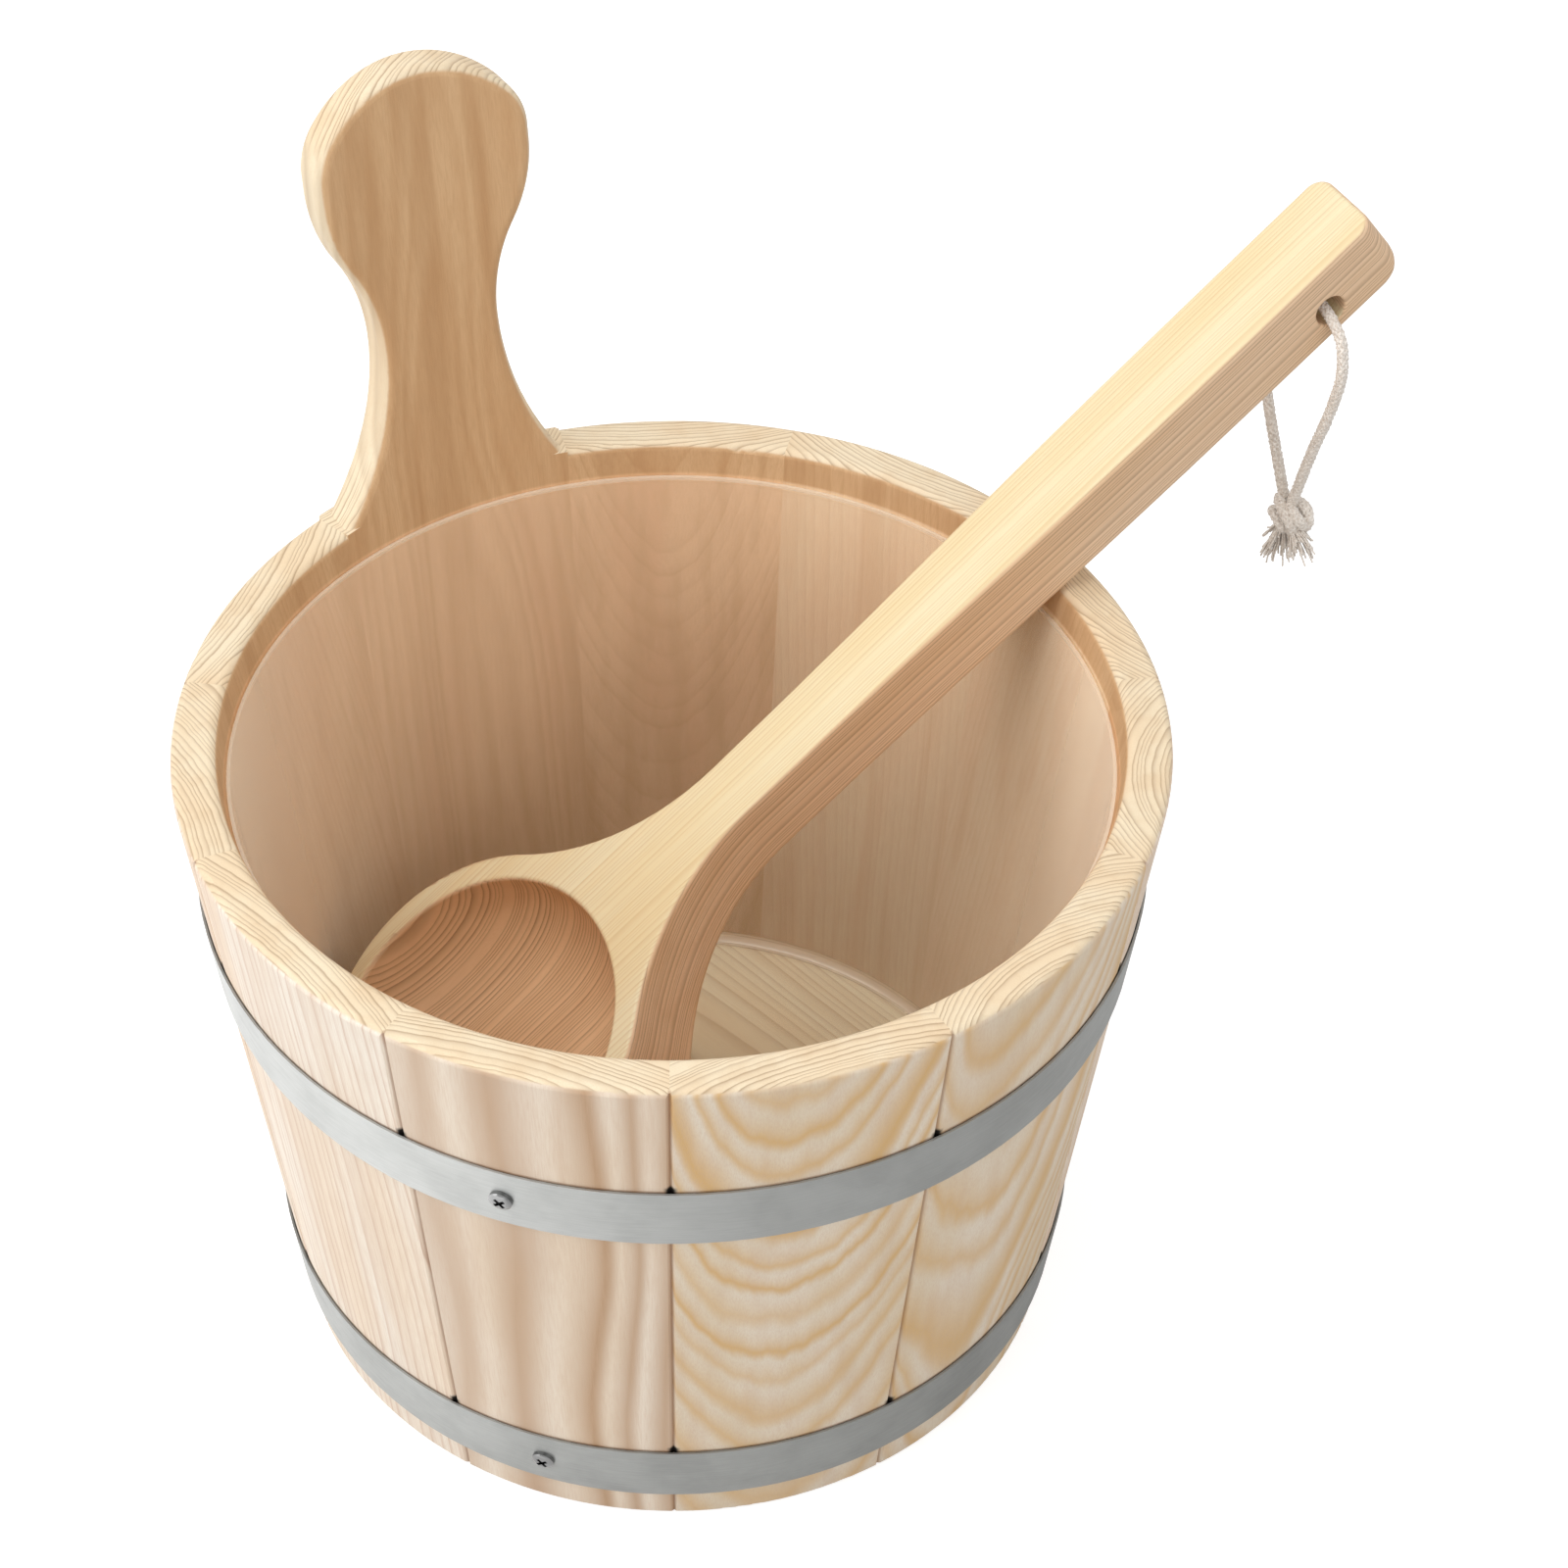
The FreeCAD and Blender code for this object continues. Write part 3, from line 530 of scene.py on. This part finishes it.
def makeTuftTree():
    # Loose strands that leave one spot, fan out and waver.
    whole, part, spot = "NodeSocketInt", "NodeSocketFloat", "NodeSocketVector"
    tree, entry, leave = newGeometryTree(
        "looseStrands",
        {
            "Strands": (whole, 100),
            "Points": (whole, 9),
            "Root": (spot, (0, 0, 0)),
            "Aim": (spot, (0, 0, -1)),
            "Root Radius": (part, 0.002),
            "Spread": (part, 0.5),
            "Wave": (part, 0.002),
            "Strand Radius": (part, 0.0002),
            "Seed": (whole, 1),
            "Material": ("NodeSocketMaterial", None),
        },
    )
    sockets = {"Start": entry["Root"], "End": vectors(tree, "ADD", entry["Root"], entry["Aim"])}
    line = addNode(tree, "GeometryNodeCurvePrimitiveLine", sockets)
    sockets = {"Curve": line.outputs[0], "Count": entry["Points"]}
    fine = addNode(tree, "GeometryNodeResampleCurve", sockets, mode="COUNT")
    copies, index = copyLine(tree, fine.outputs[0], entry["Strands"])
    along = addNode(tree, "GeometryNodeSplineParameter").outputs["Factor"]

    def randomVector(offset, low, high):
        seed = sums(tree, "ADD", entry["Seed"], offset)
        sockets = {"Min": (low,) * 3, "Max": (high,) * 3, "ID": index, "Seed": seed}
        return addNode(tree, "FunctionNodeRandomValue", sockets, data_type="FLOAT_VECTOR").outputs["Value"]

    length = lengthOf(tree, entry["Aim"])
    rootSpread = tuftSizes["rootSpread"]
    root = scaled(tree, randomVector(0, -rootSpread, rootSpread), entry["Root Radius"])
    outward = sums(tree, "POWER", along, tuftSizes["fanCurve"])
    fan = scaled(tree, randomVector(0, -1.0, 1.0), product(tree, length, entry["Spread"], outward))
    low, high = tuftSizes["cut"]
    sockets = {"Min": low, "Max": high, "ID": index, "Seed": tuftSizes["cutSeed"]}
    cut = addNode(tree, "FunctionNodeRandomValue", sockets, data_type="FLOAT").outputs[1]
    shorter = scaled(tree, entry["Aim"], product(tree, cut, along))
    position = addNode(tree, "GeometryNodeInputPosition").outputs[0]
    shift = vectors(tree, "ADD", randomVector(2, 0.0, 0.5), position)
    wobble = noise(tree, shift, tuftSizes["waveScale"], 1.0).outputs["Color"]
    centred = vectors(tree, "SUBTRACT", wobble, (0.5, 0.5, 0.5))
    waver = scaled(tree, centred, product(tree, entry["Wave"], 2.0, along))
    offset = root
    for more in (fan, shorter, waver):
        offset = vectors(tree, "ADD", offset, more)
    moved = addNode(tree, "GeometryNodeSetPosition", {"Geometry": copies, "Offset": offset}).outputs[0]
    sides = tuftSizes["strandSides"]
    makeTubes(tree, leave, moved, sides, entry["Strand Radius"], entry["Material"])
    return tree


tuftTree = makeTuftTree()
looseEnds = []
for number, (root, aim, seed) in enumerate(tuftSizes["ends"]):
    tuftRoot = cordPlace(*root)
    values = {
        "Strands": tuftSizes["strands"],
        "Points": tuftSizes["points"],
        "Root": tuftRoot,
        "Aim": cordPlace(*(a + b for a, b in zip(root, aim))) - tuftRoot,
        "Root Radius": tuftSizes["rootRadius"],
        "Spread": tuftSizes["spreadAngle"],
        "Wave": tuftSizes["wave"],
        "Strand Radius": tuftSizes["strandRadius"],
        "Seed": seed,
        "Material": cotton,
    }
    starter = [tuftRoot, tuftRoot + Vector((0, 0, tuftSizes["starter"]))]
    looseEnds.append(bakeTree(lineObject(f"looseEnd{number}", starter), tuftTree, values))
cordTail = joinPieces("cordTail", looseEnds)

for piece, node in ((cordLoop, "cord_loop"), (cordKnot, "cord_knot"), (cordTail, "cord_tail")):
    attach(piece, "ladle_with_cord")
    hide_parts(node)
print("cord, knot and loose end made")

# Timber: growth rings are long cylinders round a pith that lies outside each piece, so every cut
# through the wood shows its own figure.

# How often each cloud of the figure repeats per millimetre, across the grain twice and then along it.
timberFigure = {
    "wide": (0.016, 0.016, 0.0065),
    "close": (0.2, 0.2, 0.03),
    "fibre": (2.6, 2.6, 0.075),
    "blotch": (0.045, 0.045, 0.009),
    "band": (0.16, 0.16, 0.0025),
    "driftRoughness": 0.45,
    "fibreRoughness": 0.66,
    "yearPace": 0.23,  # how soon the years' widths change, per ring
    "yearShift": 3.2,  # how far they drift, in rings
    "faintYear": 0.55,
}


def makeTimberGroup():
    # Rings, fibre and blotches from a place in millimetres whose Z runs along the grain.
    tree = bpy.data.node_groups.new("timber", "ShaderNodeTree")
    face = tree.interface
    face.new_socket("Place", in_out="INPUT", socket_type="NodeSocketVector")
    for label in ("Spacing", "Wander", "Ripple", "Sharpness", "Fade"):
        face.new_socket(label, in_out="INPUT", socket_type="NodeSocketFloat")
    for label in ("Line", "Fibre", "Blotch", "Band"):
        face.new_socket(label, in_out="OUTPUT", socket_type="NodeSocketFloat")
    entry = addNode(tree, "NodeGroupInput").outputs
    leave = addNode(tree, "NodeGroupOutput")

    def cloud(kind, detail, rough):
        stretched = vectors(tree, "MULTIPLY", entry["Place"], timberFigure[kind])
        return noise(tree, stretched, 1.0, detail, rough).outputs

    def drift(kind, detail, amount):
        away = cloud(kind, detail, timberFigure["driftRoughness"])["Color"]
        return scaled(tree, vectors(tree, "SUBTRACT", away, (0.5, 0.5, 0.5)), amount)

    wide = drift("wide", 1.0, entry["Wander"])
    close = drift("close", 3.0, entry["Ripple"])
    place = vectors(tree, "ADD", entry["Place"], vectors(tree, "ADD", wide, close))
    parts = addNode(tree, "ShaderNodeSeparateXYZ", {0: place}).outputs
    flat = addNode(tree, "ShaderNodeCombineXYZ", {"X": parts["X"], "Y": parts["Y"], "Z": 0.0}).outputs[0]
    rings = sums(tree, "DIVIDE", lengthOf(tree, flat), entry["Spacing"])
    slow = {"W": product(tree, rings, timberFigure["yearPace"]), "Scale": 1.0, "Detail": 1.0}
    uneven = addNode(tree, "ShaderNodeTexNoise", slow, noise_dimensions="1D").outputs["Fac"]
    rings = sums(tree, "ADD", rings, product(tree, uneven, timberFigure["yearShift"]))
    # A ring darkens slowly to its late wood and ends at once.
    share = sums(tree, "FRACT", rings)
    growth = sums(tree, "MINIMUM", sums(tree, "DIVIDE", share, entry["Fade"]), 1.0)
    rise = sums(tree, "POWER", growth, entry["Sharpness"])
    drop = ramp(tree, share, entry["Fade"], 1.0, 1.0, 0.0)
    ring = {"W": sums(tree, "FLOOR", rings)}
    strength = addNode(tree, "ShaderNodeTexWhiteNoise", ring, noise_dimensions="1D").outputs["Value"]
    strength = ramp(tree, strength, 0.0, 1.0, timberFigure["faintYear"], 1.0, smooth=False)
    found = {
        "Line": product(tree, rise, drop, strength),
        "Fibre": cloud("fibre", 4.0, timberFigure["fibreRoughness"])["Fac"],
        "Blotch": cloud("blotch", 2.0, 0.5)["Fac"],
        "Band": cloud("band", 2.0, 0.5)["Fac"],
    }
    for label, value in found.items():
        tree.links.new(value, leave.inputs[label])
    return tree


timber = makeTimberGroup()


timberFinish = {
    "blotchRange": (0.35, 0.68),
    "bandRange": (0.42, 0.72),
    "fibreRange": (0.36, 0.7),
    "fibreRelief": 0.7,
    "lineRelief": 0.5,
    "reliefStrength": 0.22,
    "reliefDepth": 0.0004,
    "specular": 0.3,
}


def makeTimber(name, faces, marks=()):
    # faces: (where, look, rotation, pith), the first everywhere and each later one over the ones
    # before it. rotation turns the frame so that the grain runs up; pith is the rings' middle in mm there.
    # marks: (where, share, colour) painted last.
    finish = timberFinish
    material, tree, output = newMaterial(name)
    coordinates = addNode(tree, "ShaderNodeTexCoord").outputs

    def grainOf(look, rotation, pith):
        sockets = {"Vector": coordinates["Object"], "Rotation": rotation, "Scale": (1000, 1000, 1000)}
        turned = addNode(tree, "ShaderNodeMapping", sockets).outputs[0]
        grain = addNode(tree, "ShaderNodeGroup", node_tree=timber)
        tree.links.new(vectors(tree, "SUBTRACT", turned, (*pith, 0.0)), grain.inputs["Place"])
        for label in ("Spacing", "Wander", "Ripple", "Sharpness", "Fade"):
            grain.inputs[label].default_value = look[label.lower()]
        return grain.outputs

    def toneOf(look, grain):
        blotch = ramp(tree, grain["Blotch"], *finish["blotchRange"])
        band = ramp(tree, grain["Band"], *finish["bandRange"], 0, look["bandShare"])
        fibre = ramp(tree, grain["Fibre"], *finish["fibreRange"], 0, look["fibreShare"])
        tone = blendColours(tree, blotch, look["pale"], look["warm"])
        tone = blendColours(tree, band, tone, look["streak"])
        tone = blendColours(tree, product(tree, grain["Line"], look["lineShare"]), tone, look["late"])
        return blendColours(tree, fibre, tone, look["streak"])

    def reliefOf(grain):
        fibre = product(tree, grain["Fibre"], finish["fibreRelief"])
        return sums(tree, "ADD", fibre, product(tree, grain["Line"], finish["lineRelief"]))

    tone = relief = None
    for where, look, rotation, pith in faces:
        grain = grainOf(look, rotation, pith)
        ownTone, ownRelief = toneOf(look, grain), reliefOf(grain)
        if where is None:
            tone, relief = ownTone, ownRelief
        else:
            share = where(tree, coordinates)
            tone = blendColours(tree, share, tone, ownTone)
            sockets = {0: share, 2: relief, 3: ownRelief}
            relief = addNode(tree, "ShaderNodeMix", sockets, data_type="FLOAT").outputs[0]
    for where, share, colour in marks:
        tone = blendColours(tree, product(tree, where(tree, coordinates), share), tone, colour)
    sockets = {"Strength": finish["reliefStrength"], "Distance": finish["reliefDepth"], "Height": relief}
    bump = addNode(tree, "ShaderNodeBump", sockets)
    sockets = {
        "Base Color": tone,
        "Roughness": faces[0][1]["roughness"],
        "Specular IOR Level": finish["specular"],
        "Normal": bump.outputs[0],
    }
    shader = addNode(tree, "ShaderNodeBsdfPrincipled", sockets)
    tree.links.new(shader.outputs[0], output.inputs["Surface"])
    return material


# Where one face's wood gives way to the next: from no share of it to all of it.
faceEdges = {
    "towardsAxis": (0.55, 0.78),
    "awayFromAxis": (-0.3, -0.6),
    "underLip": (0.1768, 0.1755),
    "rim": (0.4, 0.7),
    "ladleTop": (0.6, 0.93),
}


def facing(direction, edges):
    # The share of a face that looks along a fixed direction.
    def where(tree, coordinates):
        return ramp(tree, alongOf(tree, coordinates["Normal"], direction), *edges)

    return where


def matchAxis(tree, coordinates):
    # 1 where a face looks at the pail's upright axis, -1 where it looks away.
    flat = vectors(tree, "MULTIPLY", coordinates["Object"], (-1, -1, 0))
    inward = addNode(tree, "ShaderNodeVectorMath", {0: flat}, operation="NORMALIZE").outputs[0]
    return alongOf(tree, coordinates["Normal"], inward)


def facingAxis(tree, coordinates):
    return ramp(tree, matchAxis(tree, coordinates), *faceEdges["towardsAxis"])


def underLiner(tree, coordinates):
    below = ramp(tree, heightOf(tree, coordinates["Object"]), *faceEdges["underLip"])
    return product(tree, facingAxis(tree, coordinates), below)


def facingOut(tree, coordinates):
    # The faces that look away from the axis.
    return ramp(tree, matchAxis(tree, coordinates), *faceEdges["awayFromAxis"])


def dressNode(node, material):
    # The node's own mesh stays; only its slots change.
    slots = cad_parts[node].material_slots
    for slot in slots:
        slot.link = "OBJECT"
        slot.material = material
    if not slots:
        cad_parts[node].data.materials.append(material)


staveLook = {
    "spacing": 2.0,
    "wander": 12.0,
    "ripple": 0.7,
    "sharpness": 3.0,
    "fade": 0.9,
    "pale": paint(240, 226, 210),
    "warm": paint(230, 207, 184),
    "streak": paint(206, 174, 146),
    "late": paint(206, 160, 104),
    "bandShare": 0.25,
    "lineShare": 0.55,
    "fibreShare": 0.3,
    "roughness": 0.6,
}
rimLook = dict(
    staveLook,
    spacing=1.4,
    wander=6.0,
    ripple=0.8,
    sharpness=4.0,
    fade=0.84,
    pale=paint(235, 219, 190),
    warm=paint(231, 209, 176),
    streak=paint(210, 178, 138),
    late=paint(132, 96, 62),
    lineShare=0.68,
    fibreShare=0.2,
)
# The inside faces are painted a darker, warmer tan than the outside, as painted shade.
shadedInnerLook = dict(
    staveLook,
    pale=paint(216, 180, 138),
    warm=paint(208, 169, 126),
    streak=paint(184, 141, 98),
    late=paint(180, 132, 86),
    bandShare=0.5,
    lineShare=0.3,
    fibreShare=0.3,
)

# Below the liner's lip the inside is painted paler, as painted light, and palest on the staves at the right
# that the key lamp reaches.
litCoveredLook = dict(
    shadedInnerLook,
    pale=paint(248, 210, 168),
    warm=paint(242, 198, 154),
    streak=paint(222, 180, 132),
    late=paint(210, 164, 114),
)
keyLitCoveredLook = dict(
    litCoveredLook,
    pale=paint(255, 232, 198),
    warm=paint(255, 224, 188),
    streak=paint(238, 198, 154),
    late=paint(226, 184, 140),
)

# The seams' angles round the axis are in degrees, in the staves' order. A seam is a fine dark line;
# a painted shade line runs along each hoop's upper edge, and where a seam meets it a small dark painted
# shadow fills the groove.
coopering = {
    "seams": (-0.5, 31, 66, 97.5, 131, 164, 194, 228.5, 262, 292.5, 327.5),
    "keyLitInside": ("stave_04", "stave_05"),
    "seamHalf": 0.0006,
    "seamCore": 0.3,
    "seamShare": 0.42,
    "seamAndShadeColour": paint(140, 94, 64),
    "hoopTops": (0.0305, 0.1465),
    "hoopShadeHalf": 0.0007,
    "hoopShadeCore": 0.4,
    "hoopShadeShare": 0.45,
    "gapShadeHalf": 0.002,
    "gapShadeHeight": 0.0024,
    "gapShadeShare": 1.0,
    "gapShadeColour": paint(24, 18, 14),
}
orangeWood = {
    "pale": paint(230, 217, 198),
    "warm": paint(223, 206, 180),
    "late": paint(212, 168, 100),
    "sharpness": 1.6,
    "ripple": 1.8,
    "lineShare": 0.85,
    "fade": 0.6,
}
creamWood = {
    "pale": paint(246, 236, 222),
    "warm": paint(242, 224, 202),
    "late": paint(190, 146, 118),
    "sharpness": 4.0,
}
brownWood = {
    "pale": paint(240, 227, 210),
    "warm": paint(230, 211, 188),
    "late": paint(176, 136, 98),
    "sharpness": 1.2,
    "wander": 26,
    "lineShare": 0.85,
    "fade": 0.55,
}
handleWood = {"spacing": 3.4, "wander": 20, "sharpness": 1.4, "fade": 0.6, "lineShare": 0.3}

# For each stave: the tilt of its grain in degrees, the pith of its sides and of its end in
# millimetres once the stave is turned to the front, and what its wood changes.
staves = {
    "stave_01": (8, (-2, -192), (20, -330), {**orangeWood, "spacing": 4.0}),
    "stave_02": (
        6,
        (-14, -176),
        (-14, -168),
        {**orangeWood, "spacing": 4.4, "wander": 28, "lineShare": 0.75},
    ),
    "stave_03": (3, (40, -176), (0, -162), {"spacing": 2.3, "lineShare": 0.6, "sharpness": 2.2}),
    "stave_04": (3, (-60, -60), (20, -230), {}),
    "stave_05": (-3, (50, -50), (-14, -240), {}),
    "stave_06": (3, (10, -190), (12, -240), {}),
    "handle_stave": (-3.5, (-4, -86), (60, -220), handleWood),
    "stave_07": (2, (60, -66), (10, -300), {"spacing": 1.7, "wander": 6}),
    "stave_08": (-5, (-70, -110), (50, -240), {"spacing": 1.6, "wander": 6}),
    "stave_09": (-5, (84, -110), (0, -300), {**creamWood, "spacing": 3.2, "wander": 7}),
    "stave_10": (-4, (-62, -122), (-20, -380), {**brownWood, "spacing": 15.0}),
}


def nearSeams(first, last, reach):
    # How near a place is to either of a stave's two seams, 1 on the seam.
    def where(tree, coordinates):
        gaps = []
        for seam in (first, last):
            across = (math.cos(math.radians(seam)), math.sin(math.radians(seam)), 0)
            gaps.append(sums(tree, "ABSOLUTE", alongOf(tree, coordinates["Object"], across)))
        near = ramp(tree, sums(tree, "MINIMUM", *gaps), reach, reach * coopering["seamCore"])
        return product(tree, near, facingOut(tree, coordinates))

    return where


def shadeAtHoops(reach, inner=facingOut):
    # A thin strip along the hoops' upper edges, where painted shade goes; inner narrows it to where another
    # mark lies.
    def where(tree, coordinates):
        up = heightOf(tree, coordinates["Object"])
        steps = []
        for top in coopering["hoopTops"]:
            steps.append(sums(tree, "ABSOLUTE", sums(tree, "SUBTRACT", up, top)))
        near = ramp(tree, sums(tree, "MINIMUM", *steps), reach, reach * coopering["hoopShadeCore"])
        return product(tree, near, inner(tree, coordinates))

    return where


def staveMarks(first, last):
    seams = nearSeams(first, last, coopering["seamHalf"])
    # Where a seam passes behind a hoop's upper edge, a dark painted shadow is put in the groove.
    gaps = shadeAtHoops(coopering["gapShadeHeight"], nearSeams(first, last, coopering["gapShadeHalf"]))
    return [
        (seams, coopering["seamShare"], coopering["seamAndShadeColour"]),
        # A painted shade line along each hoop's upper edge, in the seams' colour.
        (shadeAtHoops(coopering["hoopShadeHalf"]), coopering["hoopShadeShare"], coopering["seamAndShadeColour"]),
        (gaps, coopering["gapShadeShare"], coopering["gapShadeColour"]),
    ]


seams = (*coopering["seams"], coopering["seams"][0] + 360)
for number, (node, (tilt, pith, rimPith, own)) in enumerate(staves.items()):
    first, last = seams[number], seams[number + 1]
    turn = Matrix.Rotation(-math.radians((first + last) / 2), 3, "Z")
    leaning = tuple((Matrix.Rotation(math.radians(tilt), 3, "X") @ turn).to_euler())
    upright = tuple(turn.to_euler())
    outside = dict(rimLook if node == "handle_stave" else staveLook, **own)
    figure = {key: outside[key] for key in ("spacing", "wander", "sharpness", "fade")}
    # Below the lip the inside gets painted light, the most on the staves the key lamp reaches.
    covered = keyLitCoveredLook if node in coopering["keyLitInside"] else litCoveredLook
    faces = [
        (None, outside, leaning, pith),
        (facingAxis, dict(shadedInnerLook, **figure), leaning, pith),
        (underLiner, dict(covered, **figure), leaning, pith),
        (facing((0, 0, 1), faceEdges["rim"]), rimLook, upright, rimPith),
    ]
    dressNode(node, makeTimber(node + "Wood", faces, staveMarks(first, last)))
print("staves dressed")

boardLook = dict(
    staveLook,
    spacing=2.6,
    wander=10.0,
    lineShare=0.6,
    pale=paint(255, 243, 212),
    warm=paint(252, 232, 194),
    streak=paint(236, 204, 158),
    late=paint(194, 154, 108),
)
boardLie = {"grainTurn": math.radians(-42), "pith": (40.0, -30.0)}
boardTurn = Matrix.Rotation(math.radians(90), 3, "X") @ Matrix.Rotation(boardLie["grainTurn"], 3, "Z")
boardFaces = [(None, boardLook, tuple(boardTurn.to_euler()), boardLie["pith"])]
dressNode("bottom_board", makeTimber("boardWood", boardFaces))

ladleLook = dict(
    staveLook,
    spacing=1.25,
    wander=3.0,
    ripple=0.15,
    sharpness=3.2,
    pale=paint(234, 203, 170),
    warm=paint(228, 194, 157),
    streak=paint(210, 169, 127),
    late=paint(112, 74, 48),
    lineShare=0.7,
    roughness=0.5,
)
ladleTopLook = dict(
    ladleLook,
    pale=paint(232, 220, 186),
    warm=paint(229, 211, 170),
    streak=paint(228, 198, 144),
    late=paint(190, 142, 82),
    lineShare=0.5,
)
ladleBowlLook = dict(
    ladleLook,
    spacing=1.15,
    pale=paint(230, 193, 152),
    warm=paint(222, 183, 142),
    late=paint(104, 66, 38),
    lineShare=0.75,
)

# Rows: along the ladle's cross hole, out of its top face and along its grain, in the frame's directions.
ladleAxes = Matrix(((-0.4431, 0.8965, 0.0), (-0.5358, -0.2648, 0.8018), (0.7188, 0.3552, 0.5976)))
ladleUp = tuple(ladleAxes[1])
bowl = {"middle": (-0.05368, -0.01483, 0.08816), "radius": 0.0462, "below": 0.0012, "edge": 0.0006}


def insideBowl(tree, coordinates):
    # Below the ladle's top face and within the round of its bowl.
    away = vectors(tree, "SUBTRACT", coordinates["Object"], bowl["middle"])
    height = alongOf(tree, away, ladleUp)
    length = lengthOf(tree, away)
    squares = sums(tree, "SUBTRACT", product(tree, length, length), product(tree, height, height))
    reach = sums(tree, "SQRT", sums(tree, "MAXIMUM", squares, 0.0))
    within = ramp(tree, reach, bowl["radius"], bowl["radius"] - bowl["edge"])
    return product(tree, within, ramp(tree, height, 0.0, -bowl["below"]))


ladleTurn = tuple(ladleAxes.to_euler("XYZ"))
ladleSidePith, ladleTopPith = (-30.0, 228.0), (-134.0, 58.0)
ladleFaces = [
    (None, ladleLook, ladleTurn, ladleSidePith),
    (facing(ladleUp, faceEdges["ladleTop"]), ladleTopLook, ladleTurn, ladleTopPith),
    (insideBowl, ladleBowlLook, ladleTurn, ladleTopPith),
]
dressNode("ladle", makeTimber("ladleWood", ladleFaces))
print("ladle and board dressed")

# Hoops and screws

steelLook = {
    "pale": paint(172, 173, 171),
    "dull": paint(164, 165, 163),
    "roughness": 0.46,
    "smoother": 0.06,
    "rougher": 0.1,
    "brushed": 0.8,
    "brushedTurn": 0.25,
    "cloudScale": 60,
    "cloudRange": (0.35, 0.7),
    "rolledScale": (120, 120, 2400),
    "rolledRange": (0.3, 0.7),
    "reliefStrength": 0.12,
    "reliefDepth": 0.0001,
}


def makeSteel(name, look):
    material, tree, output = newMaterial(name)
    place = addNode(tree, "ShaderNodeTexCoord").outputs["Object"]
    stretched = vectors(tree, "MULTIPLY", place, look["rolledScale"])
    cloud = noise(tree, place, look["cloudScale"], 3.0, 0.6).outputs["Fac"]
    rolled = noise(tree, stretched, 1.0, 3.0, 0.6).outputs["Fac"]
    tone = blendColours(tree, ramp(tree, cloud, *look["cloudRange"]), look["pale"], look["dull"])
    smoothest = look["roughness"] - look["smoother"]
    roughest = look["roughness"] + look["rougher"]
    rough = ramp(tree, rolled, *look["rolledRange"], smoothest, roughest)
    sockets = {"Strength": look["reliefStrength"], "Distance": look["reliefDepth"], "Height": rolled}
    bump = addNode(tree, "ShaderNodeBump", sockets)
    sockets = {
        "Base Color": tone,
        "Metallic": 1.0,
        "Roughness": rough,
        "Anisotropic": look["brushed"],
        "Anisotropic Rotation": look["brushedTurn"],
        "Normal": bump.outputs[0],
    }
    if look["brushed"]:
        tangent = addNode(tree, "ShaderNodeTangent", direction_type="RADIAL", axis="Z")
        sockets["Tangent"] = tangent.outputs[0]
    shader = addNode(tree, "ShaderNodeBsdfPrincipled", sockets)
    tree.links.new(shader.outputs[0], output.inputs["Surface"])
    return material


# The lower hoop is painted darker than the upper one, as painted shade.
shadedLowerLook = dict(steelLook, pale=paint(160, 161, 159), dull=paint(150, 151, 149))
screwLook = dict(
    steelLook,
    pale=paint(136, 136, 136),
    dull=paint(100, 100, 100),
    roughness=0.18,
    brushed=0.0,
)
dressNode("upper_hoop", makeSteel("hoopSteel", steelLook))
dressNode("lower_hoop", makeSteel("shadedLowerHoopSteel", shadedLowerLook))
screwSteel = makeSteel("screwSteel", screwLook)
for node in ("upper_hoop_screw", "lower_hoop_screw"):
    dressNode(node, screwSteel)


# Liner: clear film that lets light and sight through, milky where it is seen edge on

linerLook = {
    "skinShare": 0.1,
    "edgeShare": 0.6,
    "edgeBlend": 0.2,
    "edgeRange": (0.08, 0.6),
    "lipShare": 0.42,
    "lipHeight": 0.1748,
    "lipFade": 0.0006,
    "footHighlightShare": 0.5,
    "footHeight": 0.0185,
    "footRadius": 0.0905,
    "footFade": 0.001,
    "skin": paint(255, 241, 220),
    "roughness": 0.14,
    "refraction": 1.45,
    "waveScale": 14,
    "waveStrength": 0.1,
    "waveDepth": 0.001,
}


def makeLinerFilm():
    look = linerLook
    material, tree, output = newMaterial("linerFilm")
    place = addNode(tree, "ShaderNodeTexCoord").outputs["Object"]
    wave = noise(tree, place, look["waveScale"], 1.0).outputs["Fac"]
    sockets = {"Strength": look["waveStrength"], "Distance": look["waveDepth"], "Height": wave}
    bump = addNode(tree, "ShaderNodeBump", sockets)
    sockets = {"Base Color": look["skin"], "Roughness": look["roughness"], "IOR": look["refraction"]}
    skin = addNode(tree, "ShaderNodeBsdfPrincipled", dict(sockets, Normal=bump.outputs[0]))
    clear = addNode(tree, "ShaderNodeBsdfTransparent", {"Color": (1, 1, 1, 1)})
    edge = addNode(tree, "ShaderNodeLayerWeight", {"Blend": look["edgeBlend"]}).outputs["Facing"]
    share = ramp(tree, edge, *look["edgeRange"], look["skinShare"], look["edgeShare"])
    # The lip's rolled edge shows as a pale milky line; the corner round the foot is painted paler all round
    # as a painted highlight.
    up = heightOf(tree, place)
    lip = ramp(tree, up, look["lipHeight"], look["lipHeight"] + look["lipFade"], 0, look["lipShare"])
    share = sums(tree, "MAXIMUM", share, lip)
    reach = lengthOf(tree, vectors(tree, "MULTIPLY", place, (1, 1, 0)))
    footEdge = look["footRadius"] + look["footFade"]
    foot = ramp(tree, reach, look["footRadius"], footEdge, 0, look["footHighlightShare"])
    below = ramp(tree, up, look["footHeight"] + look["footFade"], look["footHeight"])
    share = sums(tree, "MAXIMUM", share, product(tree, foot, below))
    both = addNode(tree, "ShaderNodeMixShader", {0: share, 1: clear.outputs[0], 2: skin.outputs[0]})
    tree.links.new(both.outputs[0], output.inputs["Surface"])
    return material


dressNode("liner", makeLinerFilm())
print("hoops, screws and liner dressed")

scene.view_settings.view_transform = "Standard"
